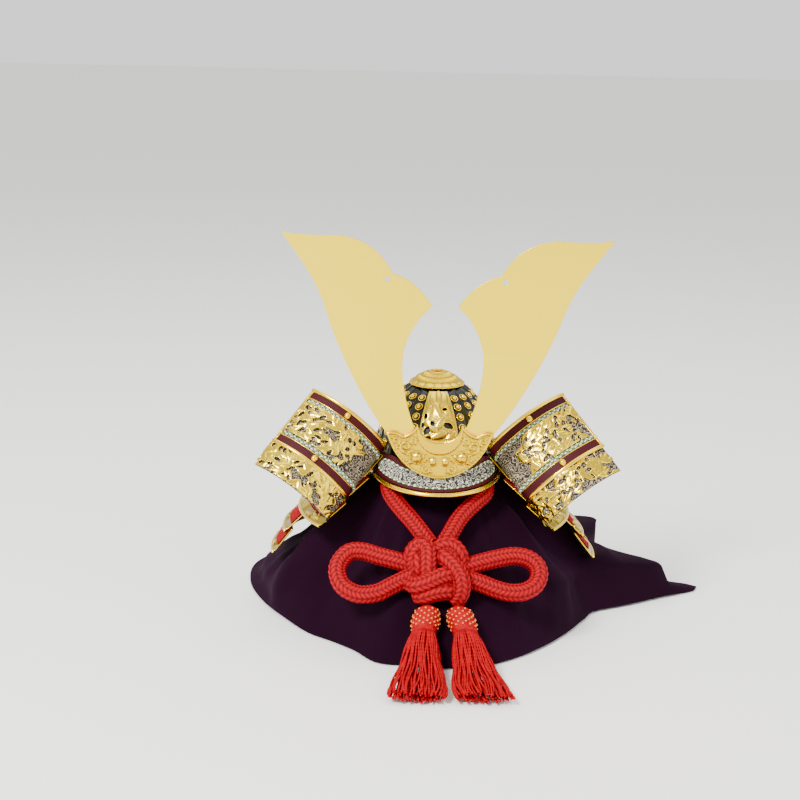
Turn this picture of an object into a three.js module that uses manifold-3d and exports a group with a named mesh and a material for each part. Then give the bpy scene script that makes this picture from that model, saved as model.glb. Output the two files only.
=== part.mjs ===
// Samurai helmet on a cloth-draped stand.
// Millimetres, +Z up, the helmet looks towards -Y, the origin is under the middle of the stand's foot.

import * as THREE from 'three';
import * as BufferGeometryUtils from 'three/addons/utils/BufferGeometryUtils.js';
import Module from 'manifold-3d';

const wasm = await Module();
wasm.setup();

const rad = THREE.MathUtils.degToRad;
const lerp = THREE.MathUtils.lerp;
const vec = (x, y, z) => new THREE.Vector3(x, y, z);

// Driving dimensions
const gap = 0.3;                 // clearance between neighbouring pieces
const bowl = {
  halfWidth: 45, halfLength: 50, rise: 58, rimZ: 124, wall: 1.8,
  plates: 20, ridge: 1, crownHoleRadius: 6,
};
const stud = { firstRow: 27, firstTilt: 36, tiltStep: 8.5, perRow: 6, radius: 1.6, height: 2.5, lift: 0.2 };
const crown = { holeRadius: 5, flangeRadius: 22, topZ: 189.4, depthScale: 1.08 };
const frontPlate = { top: 32, bottom: 72, halfTop: 10, halfBottom: 19, lift: 1.7, thickness: 1.2 };
const rimBand = { bottomZ: 120.3, topZ: 123.7, thickness: 2.8 };
const visor = {
  endAngle: 65, outerHalfWidth: 48, outerHalfLength: 55, outerCentreY: -20, frontZ: 110.7, endRise: 5.5,
  innerZ: 123, innerRise: 3, bulge: 2.5, thickness: 1.8, rimRadius: 1.7,
};
const horn = { lean: 6, planeY: -65, planeZ: 150.8, thickness: 1.2, leftRoll: 1.2, heartSize: 3.1 };
const crest = { thickness: 2.4, bossRadius: 4.2, smallBossRadius: 2.6, rimHeight: 0.9 };
const guard = { wall: 1.2, overlap: 5, tuck: 4, bead: 1.2, beadLength: 2.6, laceThickness: 1.2 };
const turnBack = {
  foldAzimuth: 47.8, slope: 40.5, bendRadius: 9.3, chord: 66, sagitta: 11.6, root: 6,
  width: 53, wall: 1.2, rim: 0.9, rimWidth: 2.2, lowGap: 0.6, lowWidth: 21,
};
const leafPlate = { thickness: 0.9, lift: 0.5, from: 9, to: 46 };
const stand = { footSide: 120, footHeight: 12, postRadius: 14 };
const cloth = { thickness: 1.4, columns: 36, floorGap: 0.3, bodyReach: 158 };
const cord = { radius: 6.5, sides: 8 };

// Helpers that turn grids of points into closed solids

function closedGeometry(points, triangles) {
  const geometry = new THREE.BufferGeometry();
  let volume = 0;
  for (const [a, b, c] of triangles) {
    volume += points[a].dot(vec(0, 0, 0).crossVectors(points[b], points[c]));
  }
  const index = [];
  for (const [a, b, c] of triangles) {
    index.push(...(volume > 0 ? [a, b, c] : [a, c, b]));
  }
  geometry.setAttribute('position', new THREE.Float32BufferAttribute(points.flatMap((p) => p.toArray()), 3));
  geometry.setIndex(index);
  return geometry;
}

// A wall between two grids of points, face[i][j] and back[i][j].
// wrap closes i on itself, and pole makes j = 0 a single point.
function wallGeometry(face, back, { wrap = false, pole = false } = {}) {
  const columns = face.length;
  const rows = face[0].length;
  const points = [];
  const faceIndex = face.map((column) => column.map((p) => points.push(p) - 1));
  const backIndex = back.map((column) => column.map((p) => points.push(p) - 1));
  if (pole) {
    faceIndex.forEach((column) => { column[0] = faceIndex[0][0]; });
    backIndex.forEach((column) => { column[0] = backIndex[0][0]; });
  }
  const triangles = [];
  const quad = (a, b, c, d) => {
    for (const t of [[a, b, c], [a, c, d]]) {
      if (new Set(t).size === 3) {
        triangles.push(t);
      }
    }
  };
  const spans = wrap ? columns : columns - 1;
  for (let i = 0; i < spans; i++) {
    const n = (i + 1) % columns;
    for (let j = 0; j < rows - 1; j++) {
      quad(faceIndex[i][j], faceIndex[n][j], faceIndex[n][j + 1], faceIndex[i][j + 1]);
      quad(backIndex[i][j], backIndex[i][j + 1], backIndex[n][j + 1], backIndex[n][j]);
    }
    if (!pole) {
      quad(faceIndex[i][0], backIndex[i][0], backIndex[n][0], faceIndex[n][0]);
    }
    const last = rows - 1;
    quad(faceIndex[i][last], faceIndex[n][last], backIndex[n][last], backIndex[i][last]);
  }
  if (!wrap) {
    for (let j = 0; j < rows - 1; j++) {
      const end = columns - 1;
      quad(faceIndex[0][j], faceIndex[0][j + 1], backIndex[0][j + 1], backIndex[0][j]);
      quad(faceIndex[end][j], backIndex[end][j], backIndex[end][j + 1], faceIndex[end][j + 1]);
    }
  }
  return compact(points, triangles);
}

// Drops the points that no triangle uses.
function compact(points, triangles) {
  const kept = new Map();
  const used = [];
  const renumbered = triangles.map((t) => t.map((i) => {
    if (!kept.has(i)) {
      kept.set(i, used.push(points[i]) - 1);
    }
    return kept.get(i);
  }));
  return closedGeometry(used, renumbered);
}

// A copy of a geometry with nothing but its places, and with shared corners merged.
function welded(geometry) {
  const bare = geometry.clone();
  bare.deleteAttribute('normal');
  bare.deleteAttribute('uv');
  return BufferGeometryUtils.mergeVertices(bare, 1e-4);
}

function toManifold(geometry) {
  const merged = welded(geometry);
  return new wasm.Manifold(new wasm.Mesh({
    numProp: 3,
    vertProperties: new Float32Array(merged.attributes.position.array),
    triVerts: new Uint32Array(merged.index.array),
  }));
}

function fromManifold(solid) {
  const mesh = solid.getMesh();
  const geometry = new THREE.BufferGeometry();
  geometry.setAttribute('position', new THREE.BufferAttribute(new Float32Array(mesh.vertProperties), 3));
  geometry.setIndex(new THREE.BufferAttribute(new Uint32Array(mesh.triVerts), 1));
  return geometry;
}

// A tube of round section along points that are passed through smoothly.
function tubeGeometry(points, radius, sides, steps) {
  const section = new THREE.Shape();
  for (let i = 0; i < sides; i++) {
    const a = (i / sides) * 2 * Math.PI;
    const x = radius * Math.cos(a);
    const y = radius * Math.sin(a);
    if (i === 0) {
      section.moveTo(x, y);
    } else {
      section.lineTo(x, y);
    }
  }
  section.closePath();
  const path = new THREE.CatmullRomCurve3(points.map((p) => vec(...p)), false, 'centripetal');
  return new THREE.ExtrudeGeometry(section, { steps, extrudePath: path, bevelEnabled: false });
}

// A value read from a table with named columns, on the straight line between two rows.
function readTable(table, key, column, at) {
  let i = 0;
  while (i < table.length - 2 && at > table[i + 1][key]) {
    i++;
  }
  const a = table[i];
  const b = table[i + 1];
  const t = THREE.MathUtils.clamp((at - a[key]) / (b[key] - a[key]), 0, 1);
  return lerp(a[column], b[column], t);
}

const helmet = new THREE.Group();

const colours = {
  blackLacquer: { color: 0x15130f, roughness: 0.3, metalness: 0.2 },
  gold: { color: 0xe6c263, roughness: 0.3, metalness: 1 },
  paleGold: { color: 0xe4d084, roughness: 0.42, metalness: 1 },
  warmGold: { color: 0xf0cd69, roughness: 0.32, metalness: 1 },
  printedLeather: { color: 0xb9b7ab, roughness: 0.75, metalness: 0 },
  redSilk: { color: 0xd0161e, roughness: 0.7, metalness: 0 },
  plumCloth: { color: 0x37203a, roughness: 0.9, metalness: 0 },
  wood: { color: 0x8a5a34, roughness: 0.6, metalness: 0 },
};

function add(name, geometry, finish, parent = helmet) {
  const mesh = new THREE.Mesh(geometry, new THREE.MeshStandardMaterial(colours[finish]));
  mesh.name = name;
  parent.add(mesh);
  return mesh;
}

// Bowl: azimuth runs from the front (-Y) towards +X, tilt from the top down, both in degrees.
function bowlPoint(azimuth, tilt, lift = 0) {
  const a = rad(azimuth);
  const t = rad(tilt);
  return vec(
    (bowl.halfWidth + lift) * Math.sin(t) * Math.sin(a),
    -(bowl.halfLength + lift) * Math.sin(t) * Math.cos(a),
    bowl.rimZ + (bowl.rise + lift) * Math.cos(t),
  );
}

function bowlNormal(azimuth, tilt) {
  return bowlPoint(azimuth, tilt, 1).sub(bowlPoint(azimuth, tilt)).normalize();
}

// Each plate is a strip between two raised ridges. A strip's cell that carries a stud is a square
// ring round the stud's foot with the stud as a four-sided cone on it.
function makeBowl() {
  const pitch = 360 / bowl.plates;
  const topTilt = THREE.MathUtils.radToDeg(Math.asin(bowl.crownHoleRadius / bowl.halfWidth));
  const firstEdge = stud.firstTilt - stud.tiltStep / 2;
  const tilts = [topTilt];
  for (let i = 0; i <= stud.perRow; i++) {
    tilts.push(firstEdge + i * stud.tiltStep);
  }
  tilts.push(90);
  const innerTilts = [topTilt, 25, 45, 68, 90];
  const points = [];
  const triangles = [];
  const put = (p) => points.push(p) - 1;
  const ring = (list, lift) => Array.from({ length: bowl.plates }, (_, k) => (
    list.map((tilt) => put(bowlPoint(k * pitch, tilt, lift)))));
  const outer = ring(tilts, bowl.ridge);
  const inner = ring(innerTilts, -bowl.wall);
  for (let k = 0; k < bowl.plates; k++) {
    const n = (k + 1) % bowl.plates;
    const azimuth = (k + 0.5) * pitch;
    const fromFront = Math.min(azimuth, 360 - azimuth);
    for (let j = 0; j < tilts.length - 1; j++) {
      const corners = [outer[k][j], outer[n][j], outer[n][j + 1], outer[k][j + 1]];
      if (j > 0 && j <= stud.perRow && fromFront > stud.firstRow - 1) {
        const tilt = stud.firstTilt + (j - 1) * stud.tiltStep;
        addStud(put, triangles, corners, azimuth, tilt);
      } else {
        triangles.push([corners[0], corners[1], corners[2]], [corners[0], corners[2], corners[3]]);
      }
    }
    for (let j = 0; j < innerTilts.length - 1; j++) {
      const [a, b, c, d] = [inner[k][j], inner[n][j], inner[n][j + 1], inner[k][j + 1]];
      triangles.push([a, c, b], [a, d, c]);
    }
    const [outerEnd, innerEnd] = [tilts.length - 1, innerTilts.length - 1];
    triangles.push([outer[n][0], outer[k][0], inner[k][0]], [outer[n][0], inner[k][0], inner[n][0]]);
    triangles.push([outer[k][outerEnd], outer[n][outerEnd], inner[n][innerEnd]]);
    triangles.push([outer[k][outerEnd], inner[n][innerEnd], inner[k][innerEnd]]);
  }
  return closedGeometry(points, triangles);
}

// One stud: its foot's four corners look towards the corners of its cell.
function addStud(put, triangles, corners, azimuth, tilt) {
  const halfTilt = THREE.MathUtils.radToDeg(stud.radius / bowl.rise);
  const halfAzimuth = halfTilt / Math.sin(rad(tilt)) * (bowl.rise / bowl.halfLength);
  const foot = [[-1, -1], [1, -1], [1, 1], [-1, 1]].map(([a, t]) => (
    put(bowlPoint(azimuth + a * halfAzimuth, tilt + t * halfTilt, stud.lift))));
  const top = put(bowlPoint(azimuth, tilt, stud.height));
  for (let i = 0; i < 4; i++) {
    const n = (i + 1) % 4;
    triangles.push([corners[i], corners[n], foot[n]], [corners[i], foot[n], foot[i]]);
    triangles.push([foot[i], foot[n], top]);
  }
}

// Crown ring: a stepped gold dome round the hole, with its underside on the bowl.
function makeCrownRing() {
  const seat = (r) => bowl.rimZ + 2 * gap
    + (bowl.rise + bowl.ridge) * Math.sqrt(1 - (r / (bowl.halfWidth + bowl.ridge)) ** 2);
  const steps = [
    { r: 7.5, z: 189.4 }, { r: 9, z: 188 }, { r: 12.5, z: 186 }, { r: 13.4, z: 184 },
    { r: 17.2, z: 182 }, { r: 18.2, z: 179.6 }, { r: 21.4, z: 178.2 },
  ];
  const profile = [
    new THREE.Vector2(crown.holeRadius, seat(crown.holeRadius)),
    new THREE.Vector2(crown.holeRadius, crown.topZ),
    ...steps.map((s) => new THREE.Vector2(s.r, s.z)),
    new THREE.Vector2(crown.flangeRadius, seat(crown.flangeRadius)),
    new THREE.Vector2(13.5, seat(13.5)),
  ];
  profile.push(profile[0].clone());
  const geometry = new THREE.LatheGeometry(profile.reverse(), 14);
  geometry.rotateX(Math.PI / 2);
  geometry.scale(1, crown.depthScale, 1);
  return geometry;
}

// A leaf-shaped prism through a plate, used to pierce it, or a low ridged leaf that is added to it.
// place gives the point, the two directions in the surface and the normal.
function leafPrism(place, length, width, turn, depth, sunk) {
  const along = place.u.clone().multiplyScalar(Math.cos(turn)).addScaledVector(place.v, Math.sin(turn));
  const across = place.normal.clone().cross(along).normalize();
  const outline = [[-0.5, 0], [-0.2, -0.5], [0.2, -0.42], [0.5, 0], [0.2, 0.42], [-0.2, 0.5]];
  const at = ([l, w], h) => place.point.clone()
    .addScaledVector(along, l * length).addScaledVector(across, w * width).addScaledVector(place.normal, h);
  const points = [...outline.map((o) => at(o, -sunk)), ...outline.map((o) => at(o, depth))];
  const n = outline.length;
  const triangles = [];
  for (let i = 0; i < n; i++) {
    const k = (i + 1) % n;
    triangles.push([i, k, n + k], [i, n + k, n + i]);
    if (i > 0 && i < n - 1) {
      triangles.push([0, i + 1, i], [n, n + i, n + i + 1]);
    }
  }
  return closedGeometry(points, triangles);
}

function leafRidge(place, length, width, turn, height, sunk) {
  const along = place.u.clone().multiplyScalar(Math.cos(turn)).addScaledVector(place.v, Math.sin(turn));
  const across = place.normal.clone().cross(along).normalize();
  const at = (l, w, h) => place.point.clone()
    .addScaledVector(along, l * length).addScaledVector(across, w * width).addScaledVector(place.normal, h);
  const points = [
    at(-0.5, 0, -sunk), at(-0.1, -0.5, -sunk), at(0.5, 0, -sunk), at(-0.1, 0.5, -sunk), at(-0.1, 0, height),
  ];
  return closedGeometry(points, [[0, 1, 4], [1, 2, 4], [2, 3, 4], [3, 0, 4], [0, 2, 1], [0, 3, 2]]);
}

// Front plate: gold, pierced and with leaves in relief, on the bowl's front.
function makeFrontPlate() {
  const span = [0, 0.33, 0.66, 1];
  const halfAt = (t) => lerp(frontPlate.halfTop, frontPlate.halfBottom, t ** 0.7);
  const tiltAt = (t) => lerp(frontPlate.top, frontPlate.bottom, t);
  const spot = (side, t, lift) => bowlPoint(side * halfAt(t), tiltAt(t), lift);
  const sides = [-1, 0, 1];
  const face = sides.map((s) => span.map((t) => spot(s, t, frontPlate.lift + frontPlate.thickness)));
  const back = sides.map((s) => span.map((t) => spot(s, t, frontPlate.lift)));
  let solid = toManifold(wallGeometry(face, back));
  const place = (s, t) => {
    const point = spot(s, t, frontPlate.lift + frontPlate.thickness);
    const normal = bowlNormal(s * halfAt(t), tiltAt(t));
    const u = vec(1, 0, 0);
    return { point, normal, u, v: normal.clone().cross(u) };
  };
  const holes = [
    { s: -0.62, t: 0.9, turn: 70 }, { s: -0.25, t: 0.84, turn: 115 }, { s: 0.3, t: 0.86, turn: 60 },
    { s: 0.66, t: 0.8, turn: 110 }, { s: 0.35, t: 0.55, turn: 20 }, { s: -0.5, t: 0.66, turn: 60 },
  ];
  for (const h of holes) {
    solid = solid.subtract(toManifold(leafPrism(place(h.s, h.t), 4.2, 1.8, rad(h.turn), 2, 3)));
  }
  const leaves = [
    { s: 0, t: 0.18, turn: 90 }, { s: -0.45, t: 0.32, turn: 120 }, { s: 0.45, t: 0.3, turn: 60 },
    { s: -0.1, t: 0.5, turn: 80 }, { s: 0.0, t: 0.7, turn: 100 },
  ];
  for (const l of leaves) {
    solid = solid.add(toManifold(leafRidge(place(l.s, l.t), 9, 3.4, rad(l.turn), 1.1, 0.5)));
  }
  return fromManifold(solid);
}

// Rim band: the gold band under the bowl's foot.
function makeRimBand() {
  const columns = 28;
  const ring = (grow, z) => Array.from({ length: columns }, (_, i) => {
    const a = (i / columns) * 2 * Math.PI;
    return vec((bowl.halfWidth + grow) * Math.sin(a), -(bowl.halfLength + grow) * Math.cos(a), z);
  });
  const outer = 1.3;
  const rows = (grow) => [ring(grow, rimBand.bottomZ), ring(grow, rimBand.topZ)];
  const swap = (table) => table[0].map((_, i) => table.map((row) => row[i]));
  return wallGeometry(swap(rows(outer)), swap(rows(outer - rimBand.thickness)), { wrap: true });
}

// Visor: u runs from the left end (-1) to the right end (1), w from the bowl (0) to the outer edge (1).
function visorPoint(u, w, drop = 0) {
  const a = rad(visor.endAngle * u);
  const s = rad(90 * u);
  const grow = 1.7;
  const inner = vec(
    (bowl.halfWidth + grow) * Math.sin(a),
    -(bowl.halfLength + grow) * Math.cos(a),
    visor.innerZ + visor.innerRise * u * u,
  );
  const outer = vec(
    visor.outerHalfWidth * Math.sin(s),
    visor.outerCentreY - visor.outerHalfLength * Math.cos(s),
    visor.frontZ + visor.endRise * u * u,
  );
  const past = Math.max(0, (Math.abs(u) - 0.8) / 0.2);
  const narrow = Math.sqrt(1 - 0.94 * past * past);
  const p = inner.clone().lerp(outer, w * narrow);
  p.z += visor.bulge * Math.sin(Math.PI * w) * narrow - drop;
  return p;
}

const visorStations = Array.from({ length: 21 }, (_, i) => Math.sin((Math.PI / 2) * (i / 10 - 1)));

function makeVisor() {
  const ways = [0, 0.3, 0.65, 1];
  const stations = visorStations.map((u) => 0.925 * u);
  const reach = stations.map((u) => {
    const width = visorPoint(u, 0).distanceTo(visorPoint(u, 1));
    return 1 - (visor.rimRadius + 2.4 * gap) / width;
  });
  const face = stations.map((u, i) => ways.map((w) => visorPoint(u, w * reach[i])));
  const back = stations.map((u, i) => ways.map((w) => visorPoint(u, w * reach[i], visor.thickness)));
  return wallGeometry(face, back);
}

function makeVisorRim() {
  const points = visorStations.map((u) => visorPoint(u, 1, visor.thickness / 2).toArray());
  return tubeGeometry(points, visor.rimRadius, 6, 26);
}

// Horns: flat plates in a plane that leans forward; x sideways and v up the plane.
const hornPlane = new THREE.Group();
hornPlane.rotation.x = rad(90 + horn.lean);
hornPlane.position.set(0, horn.planeY, horn.planeZ);
helmet.add(hornPlane);

function hornShape() {
  const shape = new THREE.Shape();
  shape.moveTo(118, 148);
  shape.bezierCurveTo(106, 146.4, 94, 146.6, 82, 147);
  shape.bezierCurveTo(62, 147.5, 48, 138, 39.5, 121.2);
  shape.bezierCurveTo(31, 120, 20, 113.5, 10, 98.3);
  shape.bezierCurveTo(18, 92, 27, 79, 29.4, 62);
  shape.bezierCurveTo(30.6, 47, 27, 27, 19, 7.3);
  shape.lineTo(17.5, -2);
  shape.lineTo(22, -9);
  shape.lineTo(29, -8);
  shape.lineTo(35, -3);
  shape.lineTo(39.9, 3.8);
  shape.bezierCurveTo(52, 19, 72, 54, 83.9, 88.4);
  shape.bezierCurveTo(91, 111, 98, 121, 118, 148);
  const heart = new THREE.Path();
  const s = horn.heartSize;
  heart.moveTo(41.2, 119.8);
  heart.lineTo(41.2 - 0.2 * s, 119.8 - 1.3 * s);
  heart.lineTo(41.2 + 0.4 * s, 119.8 - 1.9 * s);
  heart.lineTo(41.2 + 0.9 * s, 119.8 - 1.3 * s);
  heart.lineTo(41.2 + 1.5 * s, 119.8 - 1.2 * s);
  heart.lineTo(41.2 + 1.4 * s, 119.8 - 0.5 * s);
  heart.closePath();
  shape.holes.push(heart);
  return shape;
}

function makeHorn(side) {
  const geometry = new THREE.ExtrudeGeometry(hornShape(), {
    depth: horn.thickness, bevelEnabled: false, curveSegments: 5,
  });
  geometry.translate(0, 0, -horn.thickness / 2);
  if (side < 0) {
    geometry.scale(-1, 1, 1);
    const merged = welded(geometry);
    const flipped = merged.index.array.slice().reverse();
    merged.setIndex(new THREE.BufferAttribute(flipped, 1));
    return merged;
  }
  return geometry;
}

// Crest plate: engraved plate with bosses in front of the horns' feet.
function makeCrestPlate() {
  const shape = new THREE.Shape();
  shape.moveTo(0, -31);
  shape.bezierCurveTo(13, -31, 26, -23, 34, -8);
  shape.lineTo(39, 4);
  shape.quadraticCurveTo(32, 0.5, 25.5, 1.3);
  shape.quadraticCurveTo(19, 3, 16.5, 10.7);
  shape.bezierCurveTo(14, 0, 7, -2.4, 0, -2.4);
  shape.bezierCurveTo(-7, -2.4, -14, 0, -16.5, 10.7);
  shape.quadraticCurveTo(-19, 3, -25.5, 1.3);
  shape.quadraticCurveTo(-32, 0.5, -39, 4);
  shape.lineTo(-34, -8);
  shape.bezierCurveTo(-26, -23, -13, -31, 0, -31);
  const front = horn.thickness / 2 + gap + crest.thickness;
  const plate = new THREE.ExtrudeGeometry(shape, {
    depth: crest.thickness, bevelEnabled: false, curveSegments: 4,
  });
  plate.translate(0, 0, front - crest.thickness);
  let solid = toManifold(plate);
  const crescent = new THREE.Shape();
  crescent.moveTo(16.4, 9.4);
  crescent.bezierCurveTo(14, 0.2, 7, -2.8, 0, -2.8);
  crescent.bezierCurveTo(-7, -2.8, -14, 0.2, -16.4, 9.4);
  crescent.bezierCurveTo(-17.5, -4, -10, -12.4, 0, -12.4);
  crescent.bezierCurveTo(10, -12.4, 17.5, -4, 16.4, 9.4);
  const raised = new THREE.ExtrudeGeometry(crescent, {
    depth: crest.rimHeight + 1, bevelEnabled: false, curveSegments: 4,
  });
  raised.translate(0, 0, front - 1);
  solid = solid.add(toManifold(raised));
  const bosses = [
    { x: -16.5, v: -14.7, r: crest.bossRadius }, { x: 16.5, v: -14.7, r: crest.bossRadius },
    { x: -4.6, v: -18, r: crest.smallBossRadius }, { x: 4.6, v: -18, r: crest.smallBossRadius },
  ];
  for (const b of bosses) {
    const dome = new THREE.SphereGeometry(b.r, 7, 3);
    dome.scale(1, 1, 0.8);
    dome.translate(b.x, b.v, front - 0.6);
    solid = solid.add(toManifold(dome));
  }
  return fromManifold(solid);
}

// Neck guard: the lames follow one flaring surface, here as its radius and height at each seam.
const guardSeams = [
  { seam: 0, x: 47, y: 52, z: 128 },
  { seam: 1, x: 67, y: 71, z: 111 },
  { seam: 2, x: 87, y: 90, z: 94 },
  { seam: 3, x: 105, y: 107, z: 79 },
  { seam: 4, x: 117, y: 118, z: 62 },
  { seam: 5, x: 126, y: 126, z: 45 },
];
// The three upper lames reach forward to the turn-backs, the two lower ones end at the sides.
const guardAngles = { front: 57, side: 81, frontSteps: 3, backSteps: 14 };
const sideAzimuths = Array.from({ length: guardAngles.backSteps + 1 }, (_, i) => (
  lerp(guardAngles.side, 360 - guardAngles.side, i / guardAngles.backSteps)));
const frontAzimuths = Array.from({ length: guardAngles.frontSteps }, (_, i) => (
  lerp(guardAngles.front, guardAngles.side, i / guardAngles.frontSteps)));
const allAzimuths = [...frontAzimuths, ...sideAzimuths, ...[...frontAzimuths].reverse().map((a) => 360 - a)];
const lameAzimuths = [allAzimuths, allAzimuths, allAzimuths, sideAzimuths, sideAzimuths];

// A point on lame number k at distance d below its upper seam, lifted off the flaring surface.
function lamePoint(k, azimuth, d, lift) {
  const a = rad(azimuth);
  const upper = guardSeams[k];
  const lower = guardSeams[k + 1];
  const length = Math.hypot(lower.x - upper.x, lower.z - upper.z);
  const t = d / length;
  const slope = guardSlope(k);
  return vec(
    (lerp(upper.x, lower.x, t) + lift * Math.sin(slope)) * Math.sin(a),
    -(lerp(upper.y, lower.y, t) + lift * Math.sin(slope)) * Math.cos(a),
    lerp(upper.z, lower.z, t) + lift * Math.cos(slope),
  );
}

function guardSlope(k) {
  return Math.atan2(guardSeams[k].z - guardSeams[k + 1].z, guardSeams[k + 1].x - guardSeams[k].x);
}

function lameLength(k) {
  return Math.hypot(guardSeams[k + 1].x - guardSeams[k].x, guardSeams[k + 1].z - guardSeams[k].z);
}

// The lame's upper edge is tucked under the lame above, and its lower edge has a rolled rim.
function lameLift(k, d) {
  if (k === 0) {
    return 0;
  }
  const t = (d + guard.overlap) / (lameLength(k) + guard.overlap);
  const tuck = guard.tuck + guard.overlap * Math.tan(guardSlope(k) - guardSlope(k - 1));
  return -tuck * (1 - t);
}

function makeLame(k) {
  const length = lameLength(k);
  const start = k === 0 ? 1.5 : -guard.overlap;
  const beadStart = length - guard.beadLength;
  const rows = [
    { d: start, rim: 0 }, { d: beadStart, rim: 0 }, { d: beadStart + 0.4, rim: guard.bead },
    { d: length, rim: guard.bead },
  ];
  const azimuths = lameAzimuths[k];
  const face = azimuths.map((a) => rows.map((r) => lamePoint(k, a, r.d, lameLift(k, r.d) + r.rim)));
  const back = azimuths.map((a) => rows.map((r) => lamePoint(k, a, r.d, lameLift(k, r.d) - guard.wall)));
  return wallGeometry(face, back);
}

// Lacing: the silk that hangs the next lame, from under the upper lame's edge down its face.
function makeLacing(k) {
  const lower = k + 1;
  const rows = [-guard.overlap, lameLength(lower) * 0.6];
  const azimuths = lameAzimuths[lower];
  const lift = (d, extra) => lameLift(lower, d) + gap + extra;
  const face = azimuths.map((a) => rows.map((d) => lamePoint(lower, a, d, lift(d, guard.laceThickness))));
  const back = azimuths.map((a) => rows.map((d) => lamePoint(lower, a, d, lift(d, 0))));
  return wallGeometry(face, back);
}

// Turn-backs: the lames' front ends, bent outwards and back beside the visor.
// The section runs round a bend and then along a wide arc, and is carried along the generator.
function turnBackFrame(side) {
  const a = rad(turnBack.foldAzimuth);
  const d = rad(turnBack.slope);
  const out = vec(side * Math.sin(a), -Math.cos(a), 0);
  const up = vec(0, 0, 1);
  const generator = out.clone().multiplyScalar(Math.cos(d)).addScaledVector(up, -Math.sin(d));
  const normal = out.clone().multiplyScalar(Math.sin(d)).addScaledVector(up, Math.cos(d));
  const forward = vec(-side * Math.cos(a), -Math.sin(a), 0);
  return { generator, normal, forward, bendEnd: vec(side * 39.8, -34.4, 139) };
}

const turnBackArc = (() => {
  const half = turnBack.chord / 2;
  const radius = (half * half + turnBack.sagitta ** 2) / (2 * turnBack.sagitta);
  return { radius, halfAngle: Math.asin(half / radius) };
})();
const turnBackChordAngle = rad(132);
const bendAngle = turnBackChordAngle - turnBackArc.halfAngle;
const bendLength = turnBack.bendRadius * bendAngle;
const arcLength = 2 * turnBackArc.radius * turnBackArc.halfAngle;

// A point of the section at distance s along it, where s = 0 is the bend's start.
function turnBackPoint(side, s, across, lift) {
  const f = turnBackFrame(side);
  const r = turnBack.bendRadius;
  const end = { x: r * Math.sin(bendAngle), y: r * (1 - Math.cos(bendAngle)) };
  let x = s;
  let y = 0;
  let angle = 0;
  if (s > bendLength) {
    const turned = (s - bendLength) / turnBackArc.radius;
    angle = bendAngle + turned;
    x = end.x + turnBackArc.radius * (Math.sin(angle) - Math.sin(bendAngle));
    y = end.y - turnBackArc.radius * (Math.cos(angle) - Math.cos(bendAngle));
  } else if (s > 0) {
    angle = s / r;
    x = r * Math.sin(angle);
    y = r * (1 - Math.cos(angle));
  }
  x += lift * Math.sin(angle);
  y -= lift * Math.cos(angle);
  return f.bendEnd.clone()
    .addScaledVector(f.forward, x - end.x)
    .addScaledVector(f.normal, y - end.y)
    .addScaledVector(f.generator, across);
}

function turnBackPlace(side, s, across, lift) {
  const point = turnBackPoint(side, s, across, lift);
  const before = turnBackPoint(side, s - 0.5, across, lift);
  const u = turnBackPoint(side, s + 0.5, across, lift).sub(before).normalize();
  const v = turnBackFrame(side).generator.clone();
  const normal = turnBackPoint(side, s, across, lift + 1).sub(point).normalize();
  return { point, u, v, normal };
}

function turnBackStations(from, to) {
  const stations = [];
  if (from < 0) {
    stations.push(from);
  }
  const bendSteps = 3;
  for (let i = 0; i <= bendSteps; i++) {
    const s = (bendLength * i) / bendSteps;
    if (s >= from && s <= to) {
      stations.push(s);
    }
  }
  const arcSteps = 6;
  for (let i = 1; i <= arcSteps; i++) {
    const s = bendLength + (arcLength * i) / arcSteps;
    if (s > from && s <= to) {
      stations.push(s);
    }
  }
  return stations;
}

function makeTurnBack(side) {
  const w = turnBack.width;
  const rw = turnBack.rimWidth;
  const rows = [
    { t: 0, rim: turnBack.rim }, { t: rw, rim: turnBack.rim }, { t: rw + 0.3, rim: 0 },
    { t: w - rw - 0.3, rim: 0 }, { t: w - rw, rim: turnBack.rim }, { t: w, rim: turnBack.rim },
  ];
  const stations = turnBackStations(-turnBack.root, bendLength + arcLength);
  const face = stations.map((s) => rows.map((r) => turnBackPoint(side, s, r.t, r.rim)));
  const back = stations.map((s) => rows.map((r) => turnBackPoint(side, s, r.t, -turnBack.wall)));
  let solid = toManifold(wallGeometry(face, back));
  const studs = [
    { along: bendLength + 0.5 * arcLength, across: 5, r: 1.9 },
    { along: bendLength + 0.5 * arcLength, across: w - 5, r: 1.9 },
  ];
  for (const one of studs) {
    const ball = new THREE.SphereGeometry(one.r, 6, 3);
    const place = turnBackPlace(side, one.along, one.across, 0.6);
    ball.translate(...place.point.toArray());
    solid = solid.add(toManifold(ball));
  }
  return fromManifold(solid);
}

// A short table of where the leaves and gaps of a pierced plate lie, as fractions of its two sides.
const plateGaps = [
  { s: 0.12, t: 0.28, turn: 60 }, { s: 0.25, t: 0.66, turn: 20 }, { s: 0.38, t: 0.3, turn: 100 },
  { s: 0.52, t: 0.7, turn: 50 }, { s: 0.66, t: 0.32, turn: 140 }, { s: 0.78, t: 0.68, turn: 110 },
  { s: 0.9, t: 0.34, turn: 60 },
];
const plateLeaves = [
  { s: 0.2, t: 0.46, turn: 130 }, { s: 0.5, t: 0.48, turn: 15 }, { s: 0.8, t: 0.48, turn: 75 },
];

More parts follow.
